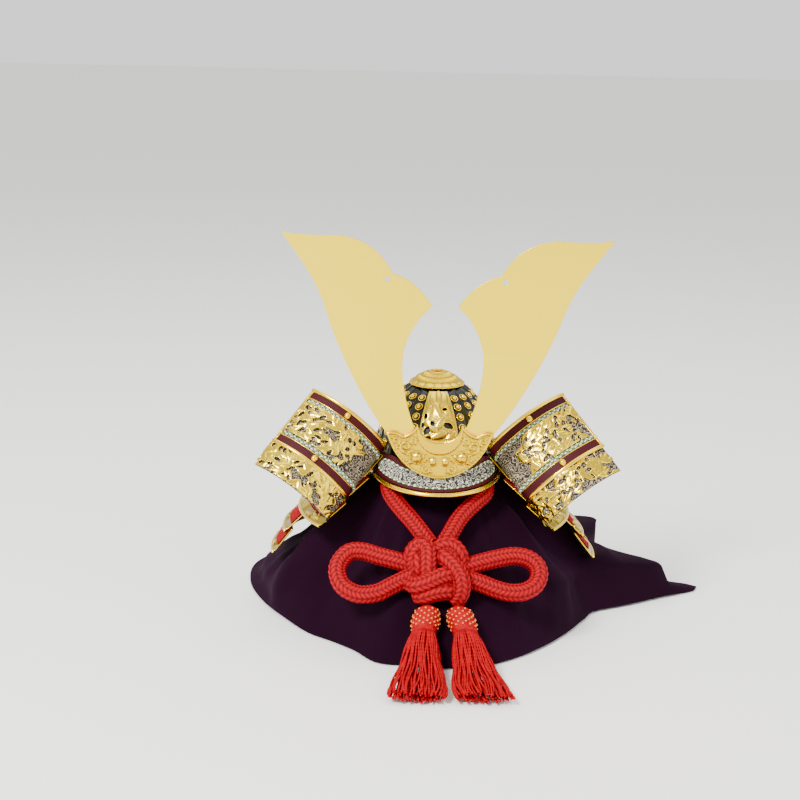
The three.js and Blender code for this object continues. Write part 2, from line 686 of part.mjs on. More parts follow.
function makeLeafPlate(side, { from, to, startAlong, endAlong, lift, gaps, leaves, leafLength }) {
  const stations = turnBackStations(startAlong, endAlong);
  if (stations[0] > startAlong + 0.5) {
    stations.unshift(startAlong);
  }
  if (stations[stations.length - 1] < endAlong - 0.5) {
    stations.push(endAlong);
  }
  const rows = [from, to];
  const top = lift + leafPlate.thickness;
  const face = stations.map((s) => rows.map((t) => turnBackPoint(side, s, t, top)));
  const back = stations.map((s) => rows.map((t) => turnBackPoint(side, s, t, lift)));
  let solid = toManifold(wallGeometry(face, back));
  const place = (one) => turnBackPlace(
    side, lerp(startAlong, endAlong, one.s), lerp(from, to, one.t), top,
  );
  for (const one of gaps) {
    solid = solid.subtract(toManifold(leafPrism(place(one), 6, 2.2, rad(side * one.turn), 2, 3)));
  }
  for (const one of leaves) {
    const ridge = leafRidge(place(one), leafLength, 0.34 * leafLength, rad(side * one.turn), 1.3, 0.5);
    solid = solid.add(toManifold(ridge));
  }
  return fromManifold(solid);
}

// Stand: a square wooden foot, a post and a rounded head.
function makeStand() {
  const foot = new THREE.BoxGeometry(stand.footSide, stand.footSide, stand.footHeight);
  foot.translate(0, 0, stand.footHeight / 2);
  const r = stand.postRadius;
  const headTop = clothHead[0].z - cloth.thickness - gap;
  const shrink = cloth.thickness + gap + 0.4;
  const profile = [new THREE.Vector2(0, stand.footHeight - 4), new THREE.Vector2(r, stand.footHeight - 4)];
  profile.push(new THREE.Vector2(r, 132));
  for (const row of clothHead.slice(1).reverse()) {
    if (row.z > 136) {
      profile.push(new THREE.Vector2(row.r - shrink, row.z - (row.z > 165 ? shrink : 0)));
    }
  }
  profile.push(new THREE.Vector2(0, headTop));
  const post = new THREE.LatheGeometry(profile, 16);
  post.rotateX(Math.PI / 2);
  return fromManifold(toManifold(foot).add(toManifold(post)));
}

// Cloth: rows down the head and neck, then the skirt, whose spread is a part of the hem's distance.
// A hem beyond bodyReach is a flap that lies flat: flap says how much of it a row takes.
const headTopZ = bowl.rimZ + bowl.rise - bowl.wall - gap;
const clothHead = [
  { r: 0, z: headTopZ },
  { r: 20, z: headTopZ - 7.25 },
  { r: 32, z: 154 },
  { r: 24, z: 134 },
  { r: 23.5, z: 118 },
  { r: 34, z: 106 },
  { r: 46, z: 101 },
];
const clothSkirt = [
  { z: 86, front: 0.18, left: 0.17, right: 0.22, ridge: 0, flap: 0 },
  { z: 50, front: 0.52, left: 0.49, right: 0.66, ridge: 0, flap: 0 },
  { z: 42.5, front: 0.59, left: 0.57, right: 0.78, ridge: 0, flap: 0 },
  { z: 38, front: 0.65, left: 0.64, right: 0.86, ridge: 0, flap: 0 },
  { z: 26, front: 0.75, left: 0.79, right: 0.9, ridge: 1, flap: 0 },
  { z: 20, front: 0.8, left: 0.86, right: 0.92, ridge: 1, flap: 0 },
  { z: 7, front: 0.93, left: 0.93, right: 0.97, ridge: 1, flap: 0.3 },
  { z: 1.8, front: 1, left: 1, right: 1, ridge: 1, flap: 1 },
];
const hem = [
  { azimuth: -180, r: 172 }, { azimuth: -150, r: 164 }, { azimuth: -120, r: 166 }, { azimuth: -105, r: 151 },
  { azimuth: -88, r: 134 }, { azimuth: -70, r: 122 }, { azimuth: -53, r: 119 }, { azimuth: -40, r: 117 },
  { azimuth: -30, r: 121 }, { azimuth: -19, r: 134 }, { azimuth: -8, r: 133 }, { azimuth: 8, r: 136 },
  { azimuth: 20, r: 132 }, { azimuth: 30, r: 127 }, { azimuth: 43, r: 122 }, { azimuth: 58, r: 120 },
  { azimuth: 72, r: 123 }, { azimuth: 82, r: 132 }, { azimuth: 88, r: 156 }, { azimuth: 94, r: 186 },
  { azimuth: 99, r: 222 }, { azimuth: 106, r: 196 }, { azimuth: 122, r: 172 }, { azimuth: 150, r: 164 },
  { azimuth: 180, r: 172 },
];
// A low ridge of cloth that stands on the floor at the right, before the flap.
const lowRidge = { azimuth: 97, width: 8, reach: 42 };
const folds = [
  { azimuth: -76, width: 12, height: 22 }, { azimuth: -50, width: 8, height: -5 },
  { azimuth: 58, width: 9, height: 10 }, { azimuth: 78, width: 8, height: -8 },
  { azimuth: 96, width: 8, height: 7 }, { azimuth: 111, width: 7, height: -12 },
  { azimuth: 124, width: 9, height: 52 },
  { azimuth: 146, width: 8, height: -8 }, { azimuth: 166, width: 8, height: 8 },
  { azimuth: -168, width: 9, height: -6 }, { azimuth: -146, width: 8, height: 9 },
  { azimuth: -122, width: 9, height: -7 }, { azimuth: -96, width: 8, height: 5 },
];

// The cloth stays this far inside the neck guard where it passes under it.
function guardLimit(z) {
  const seams = [...guardSeams].reverse();
  const inside = 9.5;
  const below = 3;
  return z < seams[0].z - below ? Infinity : readTable(seams, 'z', 'x', z) - inside;
}

function clothPoint(azimuth, level) {
  const a = rad(azimuth);
  if (level < clothHead.length) {
    const row = clothHead[level];
    return vec(row.r * Math.sin(a), -row.r * Math.cos(a), row.z);
  }
  const row = clothSkirt[level - clothHead.length];
  const neck = clothHead[clothHead.length - 1].r;
  const aside = Math.abs(Math.sin(a)) ** 2;
  const behind = Math.cos(a) < 0 ? 1 : aside;
  const left = lerp(row.left, row.right, Math.cos(a) < 0 ? 1 - aside : 0);
  const spread = lerp(row.front, azimuth > 0 ? row.right : left, behind);
  const hemRadius = readTable(hem, 'azimuth', 'r', azimuth);
  const fromRidge = (azimuth - lowRidge.azimuth) / lowRidge.width;
  const ridge = row.ridge * lowRidge.reach * Math.exp(-(fromRidge ** 2));
  const reach = lerp(Math.min(hemRadius, cloth.bodyReach + ridge), hemRadius, row.flap);
  let r = lerp(neck, reach, spread);
  const free = Math.sin(Math.PI * Math.min(1, spread)) ** 0.8;
  for (const fold of folds) {
    r += fold.height * free * Math.exp(-(((azimuth - fold.azimuth) / fold.width) ** 2));
  }
  if (Math.abs(azimuth) > 50) {
    r = Math.min(r, guardLimit(row.z));
  }
  return vec(r * Math.sin(a), -r * Math.cos(a), row.z);
}

function makeCloth() {
  const levels = clothHead.length + clothSkirt.length;
  const azimuths = Array.from({ length: cloth.columns }, (_, i) => -180 + (360 * i) / cloth.columns);
  const face = azimuths.map((a) => Array.from({ length: levels }, (_, j) => clothPoint(a, j)));
  const back = face.map((column, i) => column.map((p, j) => {
    const left = face[(i + cloth.columns - 1) % cloth.columns];
    const right = face[(i + 1) % cloth.columns];
    const aroundWay = right[Math.max(j, 1)].clone().sub(left[Math.max(j, 1)]);
    const downWay = column[Math.min(j + 1, levels - 1)].clone().sub(column[Math.max(j - 1, 0)]);
    const normal = downWay.cross(aroundWay).normalize();
    if (j === 0) {
      normal.set(0, 0, 1);
    }
    const inner = p.clone().addScaledVector(normal, -cloth.thickness);
    inner.z = Math.max(inner.z, cloth.floorGap);
    return inner;
  }));
  return wallGeometry(face, back, { wrap: true, pole: true });
}

// Cords: the routes are points chosen by hand.
const chinRoute = [
  [-11.2, -80.7, 82], [-17.5, -73.3, 88.2], [-24, -66, 93.5], [-30.5, -57, 99], [-34.5, -49.5, 103.5],
  [-35.5, -43, 107], [-34.5, -36, 110.5], [-32, -27.5, 113.8], [-29.5, -18.5, 118.5], [-30.5, -8, 124.5],
  [-32.5, 4, 128.5], [-29.5, 18, 130], [-19, 28.5, 130], [0, 34.3, 130], [19, 28.5, 130], [29.5, 18, 130],
  [32.5, 4, 128.5], [30.5, -8, 124.5], [29.5, -18.5, 118.5], [32, -27.5, 113.8], [35, -36, 110.5],
  [36.5, -43, 107], [35, -49.5, 103.5], [28.5, -57, 100], [20, -66, 94.5], [14, -73, 89],
  [9, -80.5, 82.5],
];
const bowLeftRoute = [
  [-27.3, -91.2, 64.3], [-35, -90, 66], [-43, -88.5, 67.5], [-54, -86.5, 70], [-64, -87, 69.5],
  [-71, -91.5, 63.5],
  [-72.5, -97, 56.5], [-68, -103, 49], [-57, -106, 44.5], [-44, -105.5, 45.5], [-35, -102.5, 49],
  [-26, -100, 53],
];
const bowRightRoute = [
  [24.7, -92, 62.8], [34, -90, 65], [44, -88.5, 67], [56, -87.5, 68.5], [66, -89, 66.5],
  [72.5, -94, 60.5], [73, -98.5, 54.5], [67, -102.5, 49], [55, -104.5, 46.5], [42, -103, 48.5],
  [34, -101, 51], [24.7, -99.3, 53.8],
];

// Knot: a flattened lump of crossing turns, tilted with the cloth's slope.
function makeKnot() {
  const lobes = [
    { x: -12, up: 9, r: 13.5 }, { x: 11, up: 10, r: 12.5 }, { x: -9, up: -12, r: 12.5 },
    { x: 12, up: -12, r: 12.5 }, { x: 0, up: 0, r: 13 },
  ];
  let solid = null;
  for (const lobe of lobes) {
    const ball = new THREE.SphereGeometry(lobe.r, 7, 5);
    ball.scale(1, 1, 0.72);
    ball.translate(lobe.x, lobe.up, 0);
    const one = toManifold(ball);
    solid = solid ? solid.add(one) : one;
  }
  const geometry = fromManifold(solid);
  geometry.rotateX(rad(90 - 37.5));
  geometry.translate(-0.5, -96.5, 59.5);
  return geometry;
}

// Tassels: a round head, then a skirt of fringe that lies down the cloth and out on the ground.
const tasselRows = [
  { along: 0, width: 6, depth: 5.5, y: -111, z: 38.7 },
  { along: 1, width: 8.5, depth: 7.5, y: -117, z: 33 },
  { along: 2, width: 9, depth: 8, y: -122, z: 28.5 },
  { along: 3, width: 8, depth: 7.5, y: -127, z: 24.5 },
  { along: 4, width: 11, depth: 9, y: -135, z: 19 },
  { along: 5, width: 14, depth: 8.5, y: -149, z: 12 },
  { along: 6, width: 17, depth: 6.5, y: -166, z: 8 },
  { along: 7, width: 20, depth: 5.5, y: -184, z: 6.5 },
  { along: 8, width: 20, depth: 4.5, y: -196, z: 5.5 },
];

function makeTassel(topX, endX) {
  const sides = 12;
  const ring = (row) => Array.from({ length: sides }, (_, i) => {
    const a = (i / sides) * 2 * Math.PI;
    const t = row.along / (tasselRows.length - 1);
    const lock = row.along > 3 && i % 2 ? 0.86 : 1;
    const x = lerp(topX, endX, t ** 1.2) + row.width * lock * Math.cos(a);
    const up = row.depth * lock * Math.sin(a);
    const lean = lerp(0.62, 0, THREE.MathUtils.clamp((t - 0.4) / 0.4, 0, 1));
    return vec(x, row.y - up * lean, Math.max(row.z + up * Math.cos(lean), cloth.floorGap + 0.2));
  });
  const rings = tasselRows.map(ring);
  const points = rings.flat();
  const top = points.push(vec(topX, tasselRows[0].y, tasselRows[0].z)) - 1;
  const last = tasselRows[tasselRows.length - 1];
  const bottom = points.push(vec(endX, last.y, last.z)) - 1;
  const triangles = [];
  for (let j = 0; j < rings.length - 1; j++) {
    for (let i = 0; i < sides; i++) {
      const n = (i + 1) % sides;
      const a = j * sides;
      const b = (j + 1) * sides;
      triangles.push([a + i, a + n, b + n], [a + i, b + n, b + i]);
    }
  }
  const lastStart = (rings.length - 1) * sides;
  for (let i = 0; i < sides; i++) {
    const n = (i + 1) % sides;
    triangles.push([top, n, i], [bottom, lastStart + i, lastStart + n]);
  }
  return closedGeometry(points, triangles);
}

add('bowl', makeBowl(), 'blackLacquer');
add('crown_ring', makeCrownRing(), 'gold');
add('front_plate', makeFrontPlate(), 'gold');
add('rim_band', makeRimBand(), 'gold');
add('visor', makeVisor(), 'printedLeather');
add('visor_rim', makeVisorRim(), 'gold');
add('crest_plate', makeCrestPlate(), 'warmGold', hornPlane);
add('horn_right', makeHorn(1), 'paleGold', hornPlane);
const hornLeft = add('horn_left', makeHorn(-1), 'paleGold', hornPlane);
hornLeft.rotation.z = rad(-horn.leftRoll);
for (let k = 0; k < lameAzimuths.length; k++) {
  add(`lame_${k + 1}`, makeLame(k), 'gold');
}
for (let k = 0; k < lameAzimuths.length - 1; k++) {
  add(`lacing_${k + 1}`, makeLacing(k), 'redSilk');
}
for (const [name, side] of [['left', -1], ['right', 1]]) {
  add(`turnback_${name}`, makeTurnBack(side), 'printedLeather');
  add(`leaf_plate_${name}`, makeLeafPlate(side, {
    from: leafPlate.from, to: leafPlate.to, lift: leafPlate.lift, leafLength: 13,
    startAlong: bendLength + 6, endAlong: bendLength + arcLength - 1, gaps: plateGaps, leaves: plateLeaves,
  }), 'gold');
  const lowStart = turnBack.width + turnBack.lowGap;
  add(`turnback_low_${name}`, makeLeafPlate(side, {
    from: lowStart, to: lowStart + turnBack.lowWidth, lift: -1.8, leafLength: 9,
    startAlong: 2, endAlong: bendLength + arcLength,
    gaps: plateGaps.filter((_, i) => i % 2 === 0), leaves: plateLeaves.filter((_, i) => i % 2 === 0),
  }), 'gold');
}
add('stand', makeStand(), 'wood');
add('cloth', makeCloth(), 'plumCloth');
add('chin_cord', tubeGeometry(chinRoute, cord.radius, cord.sides, 28), 'redSilk');
add('bow_left', tubeGeometry(bowLeftRoute, cord.radius, cord.sides, 16), 'redSilk');
add('bow_right', tubeGeometry(bowRightRoute, cord.radius, cord.sides, 16), 'redSilk');
add('knot', makeKnot(), 'redSilk');
add('tassel_left', makeTassel(-7.5, -17), 'redSilk');
add('tassel_right', makeTassel(14.5, 29), 'redSilk');

export default helmet;
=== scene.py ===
# Samurai helmet on its draped stand: the looks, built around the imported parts.
# Points are written in millimetres and become metres in toMetres.
import math
import random

import bmesh
import bpy
import numpy as np
from mathutils import Matrix, Vector
from mathutils.geometry import delaunay_2d_cdt


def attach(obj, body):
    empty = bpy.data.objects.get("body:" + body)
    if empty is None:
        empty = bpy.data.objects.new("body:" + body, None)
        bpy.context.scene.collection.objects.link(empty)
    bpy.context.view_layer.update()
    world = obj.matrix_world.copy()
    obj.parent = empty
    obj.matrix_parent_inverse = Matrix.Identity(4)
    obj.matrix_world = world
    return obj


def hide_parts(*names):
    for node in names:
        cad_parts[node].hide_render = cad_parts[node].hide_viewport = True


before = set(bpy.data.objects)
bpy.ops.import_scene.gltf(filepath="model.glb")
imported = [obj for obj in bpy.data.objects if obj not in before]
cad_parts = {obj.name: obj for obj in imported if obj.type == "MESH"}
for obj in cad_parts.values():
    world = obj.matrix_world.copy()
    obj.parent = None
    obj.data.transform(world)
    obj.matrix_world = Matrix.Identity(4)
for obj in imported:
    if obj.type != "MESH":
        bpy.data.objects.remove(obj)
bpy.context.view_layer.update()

scene = bpy.context.scene
radians = math.radians
toMetres = 0.001


# small helpers for points, meshes and node trees

def srgb(red, green, blue):
    # screen colour, 0 to 255, as the linear colour that a shader wants
    def linear(value):
        value /= 255
        return value / 12.92 if value < 0.04045 else ((value + 0.055) / 1.055) ** 2.4
    return (linear(red), linear(green), linear(blue), 1.0)


def mix(a, b, t):
    return a + (b - a) * t


def unit(v):
    return v / np.maximum(np.linalg.norm(v, axis=-1, keepdims=True), 1e-9)


def smoothPath(points, step):
    # a smooth line through given points, at an even step
    p = np.array(points, float)
    p = np.vstack([2 * p[0] - p[1], p, 2 * p[-1] - p[-2]])
    out = []
    for i in range(1, len(p) - 2):
        a, b, c, d = p[i - 1], p[i], p[i + 1], p[i + 2]
        for t in np.linspace(0, 1, 24, endpoint=False):
            out.append(0.5 * ((2 * b) + (c - a) * t + (2 * a - 5 * b + 4 * c - d) * t ** 2
                              + (3 * b - a - 3 * c + d) * t ** 3))
    out.append(p[-2])
    line = np.array(out)
    run = np.concatenate([[0], np.cumsum(np.linalg.norm(np.diff(line, axis=0), axis=1))])
    count = max(2, int(round(run[-1] / step)) + 1)
    even = np.linspace(0, run[-1], count)
    return np.stack([np.interp(even, run, line[:, k]) for k in range(3)], axis=1)


def readTable(rows, key, column, at):
    # a table's column, smoothly between its rows
    keys = np.array([row[key] for row in rows], float)
    values = np.array([row[column] for row in rows], float)
    at = np.clip(np.asarray(at, float), keys[0], keys[-1])
    slopes = np.gradient(values, keys)
    i = np.clip(np.searchsorted(keys, at, side="right") - 1, 0, len(keys) - 2)
    h = keys[i + 1] - keys[i]
    t = (at - keys[i]) / h
    a, b = values[i], values[i + 1]
    m, n = slopes[i] * h, slopes[i + 1] * h
    return ((2 * t ** 3 - 3 * t ** 2 + 1) * a + (t ** 3 - 2 * t ** 2 + t) * m
            + (-2 * t ** 3 + 3 * t ** 2) * b + (t ** 3 - t ** 2) * n)


def makeMesh(name, points, faces, material, uv=None, smooth=True, edges=()):
    mesh = bpy.data.meshes.new(name)
    scaled = np.asarray(points, float).reshape(-1, 3) * toMetres
    mesh.from_pydata(scaled.tolist(), [list(e) for e in edges], [list(f) for f in faces])
    if uv is not None:
        layer = mesh.uv_layers.new(name="UVMap")
        corner = np.zeros(len(mesh.loops), np.int32)
        mesh.loops.foreach_get("vertex_index", corner)
        layer.data.foreach_set("uv", np.asarray(uv, np.float32).reshape(-1, 2)[corner].ravel())
    if smooth and len(mesh.polygons):
        mesh.polygons.foreach_set("use_smooth", [True] * len(mesh.polygons))
    if material is not None:
        mesh.materials.append(material)
    mesh.update()
    obj = bpy.data.objects.new(name, mesh)
    scene.collection.objects.link(obj)
    return obj


def gridFaces(rows, columns, wrapRows=False, wrapColumns=False):
    faces = []
    for i in range(rows if wrapRows else rows - 1):
        n = (i + 1) % rows
        for j in range(columns if wrapColumns else columns - 1):
            k = (j + 1) % columns
            faces.append((i * columns + j, n * columns + j, n * columns + k, i * columns + k))
    return faces


def closeUp(obj, distance=0.000001):
    # merges doubles and turns every face outwards
    work = bmesh.new()
    work.from_mesh(obj.data)
    bmesh.ops.remove_doubles(work, verts=work.verts, dist=distance)
    bmesh.ops.recalc_face_normals(work, faces=work.faces)
    work.to_mesh(obj.data)
    work.free()
    obj.data.update()
    return obj


def slab(name, top, under, material, uv=None):
    # a closed body between two grids of points
    rows, columns = top.shape[:2]
    n = rows * columns
    faces = gridFaces(rows, columns)
    faces += [tuple(n + i for i in face)[::-1] for face in gridFaces(rows, columns)]
    ring = [i * columns for i in range(rows)] + [(rows - 1) * columns + j for j in range(1, columns)]
    ring += [i * columns + columns - 1 for i in range(rows - 2, -1, -1)] + list(range(columns - 2, 0, -1))
    faces += [(b, a, n + a, n + b) for a, b in zip(ring, ring[1:] + ring[:1])]
    if uv is not None:
        uv = np.concatenate([uv.reshape(-1, 2)] * 2)
    points = np.concatenate([top.reshape(-1, 3), under.reshape(-1, 3)])
    return closeUp(makeMesh(name, points, faces, material, uv=uv), 0)


def ringBody(name, rows, material):
    # a closed section carried round the helmet; rows hold one ring of points for each corner of the section
    faces = gridFaces(len(rows), len(rows[0]), wrapRows=True, wrapColumns=True)
    return closeUp(makeMesh(name, np.array(rows), faces, material))


def storeOnTop(obj, name, values):
    # a point attribute on a slab: the values on its upper side, nought on its under side
    both = np.concatenate([values.ravel(), np.zeros(values.size)])
    obj.data.attributes.new(name, "FLOAT", "POINT").data.foreach_set("value", both.astype(np.float32))


def sweep(name, rows, material):
    # a closed section carried along a path; rows hold one line of points for each corner of the section
    rows = np.asarray(rows, float)
    count, long = rows.shape[:2]
    faces = gridFaces(count, long, wrapRows=True)
    faces += [tuple(i * long for i in range(count)), tuple(i * long + long - 1 for i in range(count))[::-1]]
    return closeUp(makeMesh(name, rows, faces, material))


def thicken(obj, thickness):
    # gives an open sheet its wall, on the inner side
    wall = obj.modifiers.new("wall", "SOLIDIFY")
    wall.thickness = thickness * toMetres
    wall.offset = -1
    wall.use_even_offset = True
    return obj


def dress(obj, slot, *nodes):
    # every piece rides the one body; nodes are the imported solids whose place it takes
    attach(obj, "root")
    if nodes:
        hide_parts(*nodes)
    return obj


def addNode(tree, kind, values=None, **settings):
    # values hold sockets to link or plain values, by input name or number
    node = tree.nodes.new(kind)
    for name, value in settings.items():
        setattr(node, name, value)
    for key, value in (values or {}).items():
        if isinstance(value, bpy.types.NodeSocket):
            tree.links.new(value, node.inputs[key])
        elif value is not None:
            node.inputs[key].default_value = value
    return node


def calc(tree, operation, *terms):
    return addNode(tree, "ShaderNodeMath", dict(enumerate(terms)), operation=operation).outputs[0]


def newTree(name, inputs):
    # a Geometry Nodes tree with named inputs; Material comes last
    tree = bpy.data.node_groups.new(name, "GeometryNodeTree")
    tree.interface.new_socket("Geometry", in_out="INPUT", socket_type="NodeSocketGeometry")
    for label, kind, value in inputs + [("Material", "Material", None)]:
        socket = tree.interface.new_socket(label, in_out="INPUT", socket_type="NodeSocket" + kind)
        if value is not None:
            socket.default_value = value
    tree.interface.new_socket("Geometry", in_out="OUTPUT", socket_type="NodeSocketGeometry")
    return tree, tree.nodes.new("NodeGroupInput"), tree.nodes.new("NodeGroupOutput")


def endTree(tree, start, end, geometry):
    real = addNode(tree, "GeometryNodeRealizeInstances", {0: geometry})
    shaded = addNode(tree, "GeometryNodeSetShadeSmooth", {0: real.outputs[0]})
    painted = addNode(tree, "GeometryNodeSetMaterial",
                      {"Geometry": shaded.outputs[0], "Material": start.outputs["Material"]})
    tree.links.new(painted.outputs[0], end.inputs[0])
    return tree


def growNodes(seed, tree, values):
    # runs the tree on the seed object and leaves its result there as a plain mesh
    modifier = seed.modifiers.new(tree.name, "NODES")
    modifier.node_group = tree
    for item in tree.interface.items_tree:
        if item.in_out == "INPUT" and item.name in values:
            modifier[item.identifier] = values[item.name]
    seed.update_tag()
    bpy.context.view_layer.update()
    graph = bpy.context.evaluated_depsgraph_get()
    grown = bpy.data.meshes.new_from_object(seed.evaluated_get(graph), depsgraph=graph)
    seed.modifiers.remove(modifier)
    old = seed.data
    seed.data = grown
    name = old.name
    bpy.data.meshes.remove(old)
    grown.name = name
    return seed


def lineObject(name, points):
    edges = [(i, i + 1) for i in range(len(points) - 1)]
    return makeMesh(name, points, [], None, edges=edges)


def joinPieces(name, pieces):
    # several meshes that share one material, as one piece
    work = bmesh.new()
    for piece in pieces:
        work.from_mesh(piece.data)
    mesh = bpy.data.meshes.new(name)
    work.to_mesh(mesh)
    work.free()
    for material in pieces[0].data.materials:
        mesh.materials.append(material)
    joined = bpy.data.objects.new(name, mesh)
    scene.collection.objects.link(joined)
    for piece in pieces:
        old = piece.data
        bpy.data.objects.remove(piece)
        if old.users == 0:
            bpy.data.meshes.remove(old)
    return joined


# camera, floor and light

view = {"place": (-0.0536, -1.1291, 0.425), "heading": 1.3, "pitch": 13.05, "roll": 1.286, "lens": 67.97}


def setCamera():
    heading, pitch, roll = (radians(view[k]) for k in ("heading", "pitch", "roll"))
    forward = Vector((math.sin(heading) * math.cos(pitch), math.cos(heading) * math.cos(pitch),
                      -math.sin(pitch)))
    side = forward.cross(Vector((0, 0, 1))).normalized()
    up = side.cross(forward)
    right = side * math.cos(roll) + up * math.sin(roll)
    top = up * math.cos(roll) - side * math.sin(roll)
    data = bpy.data.cameras.new("camera")
    data.lens = view["lens"]
    data.sensor_width = 36
    data.sensor_fit = "HORIZONTAL"
    camera = bpy.data.objects.new("camera", data)
    turn = Matrix((right, top, -forward)).transposed()
    camera.matrix_world = Matrix.Translation(view["place"]) @ turn.to_4x4()
    scene.collection.objects.link(camera)
    scene.camera = camera


setCamera()

stage = {"halfSize": 30000, "drop": 0.0002, "floor": (244, 243, 240), "floorRough": 0.9,
         "world": (255, 255, 255), "worldStrength": 1.25, "aim": (0, 0, 0.12)}
lamps = [
    {"name": "keyLight", "place": (-0.9, -1.3, 1.5), "size": 0.5, "power": 75},
    {"name": "fillLight", "place": (1.3, -1.0, 0.9), "size": 1.2, "power": 11},
    {"name": "topLight", "place": (0.1, 0.5, 1.7), "size": 1.4, "power": 15},
]


def setStage():
    material = bpy.data.materials.new("paleFloor")
    material.use_nodes = True
    shader = material.node_tree.nodes["Principled BSDF"]
    shader.inputs["Base Color"].default_value = srgb(*stage["floor"])
    shader.inputs["Roughness"].default_value = stage["floorRough"]
    half = stage["halfSize"]
    floor = makeMesh("floor", [(-half, -half, 0), (half, -half, 0), (half, half, 0), (-half, half, 0)],
                     [(0, 1, 2, 3)], material, smooth=False)
    floor.location.z = -stage["drop"]
    world = bpy.data.worlds.new("studio")
    world.use_nodes = True
    background = world.node_tree.nodes["Background"]
    background.inputs[0].default_value = srgb(*stage["world"])
    background.inputs[1].default_value = stage["worldStrength"]
    scene.world = world
    for lamp in lamps:
        data = bpy.data.lights.new(lamp["name"], "AREA")
        data.energy = lamp["power"]
        data.size = lamp["size"]
        light = bpy.data.objects.new(lamp["name"], data)
        light.location = lamp["place"]
        aim = Vector(stage["aim"]) - Vector(lamp["place"])
        light.rotation_euler = aim.to_track_quat("-Z", "Y").to_euler()
        scene.collection.objects.link(light)


setStage()
print("camera, floor and lights are set")


# materials

def newMaterial(name):
    material = bpy.data.materials.new(name)
    material.use_nodes = True
    tree = material.node_tree
    return material, tree, tree.nodes["Principled BSDF"]


def objectPlace(tree):
    return addNode(tree, "ShaderNodeTexCoord").outputs["Object"]


def noise(tree, vector, scale, detail):
    return addNode(tree, "ShaderNodeTexNoise",
                   {"Vector": vector, "Scale": scale, "Detail": detail}).outputs["Fac"]


def grey(level):
    return (level, level, level, 1)


def ramp(tree, factor, stops):
    node = addNode(tree, "ShaderNodeValToRGB", {0: factor})
    while len(node.color_ramp.elements) < len(stops):
        node.color_ramp.elements.new(0.5)
    for element, (at, colour) in zip(node.color_ramp.elements, stops):
        element.position = at
        element.color = colour
    return node.outputs[0]


def blendColour(tree, factor, a, b):
    node = addNode(tree, "ShaderNodeMix", data_type="RGBA")
    for socket, value in ((node.inputs[0], factor), (node.inputs[6], a), (node.inputs[7], b)):
        if isinstance(value, bpy.types.NodeSocket):
            tree.links.new(value, socket)
        else:
            socket.default_value = value
    return node.outputs[2]


def bump(tree, height, strength, distance):
    return addNode(tree, "ShaderNodeBump",
                   {"Height": height, "Strength": strength, "Distance": distance}).outputs[0]


# gilt metal; clouds and grain are noise scales, grainDepth is in metres
gilt = {"clouds": 38, "grain": 900, "grainDepth": 0.00004, "grainBump": 0.5, "smoother": 0.06, "rougher": 0.1,
        "hollow": 0.5, "hollowShadeTone": (70, 36, 2), "edgeTone": (58, 34, 2),
        "hollowShadeRamp": [(0.42, grey(0)), (0.5, grey(0.72)), (0.57, grey(1))]}


def goldMaterial(name, light, dark, rough, **changes):
    # painted shade: darker in its hollows, found by pointiness, and where the "shade" attribute says; the
    # ridges keep the paler plain colour
    g = {**gilt, **changes}
    material, tree, shader = newMaterial(name)
    where = objectPlace(tree)
    cloudy = noise(tree, where, g["clouds"], 4)
    fine = noise(tree, where, g["grain"], 2)
    sharp = addNode(tree, "ShaderNodeNewGeometry").outputs["Pointiness"]
    # painted shade: the pointiness ramp is nought in hollows, and there the colour goes towards the hollow tone
    outsideHollows = ramp(tree, sharp, g["hollowShadeRamp"])
    base = blendColour(tree, cloudy, srgb(*dark), srgb(*light))
    bright = blendColour(tree, outsideHollows, blendColour(tree, g["hollow"], base, srgb(*g["hollowShadeTone"])), base)
    shade = addNode(tree, "ShaderNodeAttribute", attribute_name="shade").outputs["Fac"]
    # painted shade from the "shade" attribute: blade edges, veins and bare ground go towards the edge tone
    tree.links.new(blendColour(tree, shade, bright, srgb(*g["edgeTone"])), shader.inputs["Base Color"])
    shader.inputs["Metallic"].default_value = 1.0
    uneven = addNode(tree, "ShaderNodeMapRange",
                     {"Value": cloudy, "To Min": rough - g["smoother"], "To Max": rough + g["rougher"]})
    tree.links.new(uneven.outputs[0], shader.inputs["Roughness"])
    tree.links.new(bump(tree, fine, g["grainBump"], g["grainDepth"]), shader.inputs["Normal"])
    return material


gold = goldMaterial("giltBrass", (255, 222, 48), (252, 200, 18), 0.19)
leafGold = goldMaterial("leafGilt", (255, 228, 72), (255, 208, 34), 0.21, grain=1400, hollow=0.95)
warmGold = goldMaterial("crestGilt", (255, 220, 0), (250, 202, 0), 0.24, grain=1600, hollow=0.95)
paleGold = goldMaterial("hornGilt", (255, 226, 4), (252, 218, 0), 0.36, grain=2600,
                        grainDepth=0.000012, hollow=0.2)

lacquer = {"light": (7, 6, 6), "dark": (2, 2, 2), "clouds": 60, "rough": 0.28, "specular": 0.3, "coat": 0.12,
           "coatRough": 0.08, "grain": 240, "grainBump": 0.25, "grainDepth": 0.00015}


def lacquerMaterial():
    material, tree, shader = newMaterial("blackLacquer")
    where = objectPlace(tree)
    cloudy = noise(tree, where, lacquer["clouds"], 4)
    tree.links.new(blendColour(tree, cloudy, srgb(*lacquer["dark"]), srgb(*lacquer["light"])),
                   shader.inputs["Base Color"])
    shader.inputs["Roughness"].default_value = lacquer["rough"]
    shader.inputs["Specular IOR Level"].default_value = lacquer["specular"]
    shader.inputs["Coat Weight"].default_value = lacquer["coat"]
    shader.inputs["Coat Roughness"].default_value = lacquer["coatRough"]
    grain = noise(tree, where, lacquer["grain"], 3)
    tree.links.new(bump(tree, grain, lacquer["grainBump"], lacquer["grainDepth"]), shader.inputs["Normal"])
    return material


blackLacquer = lacquerMaterial()


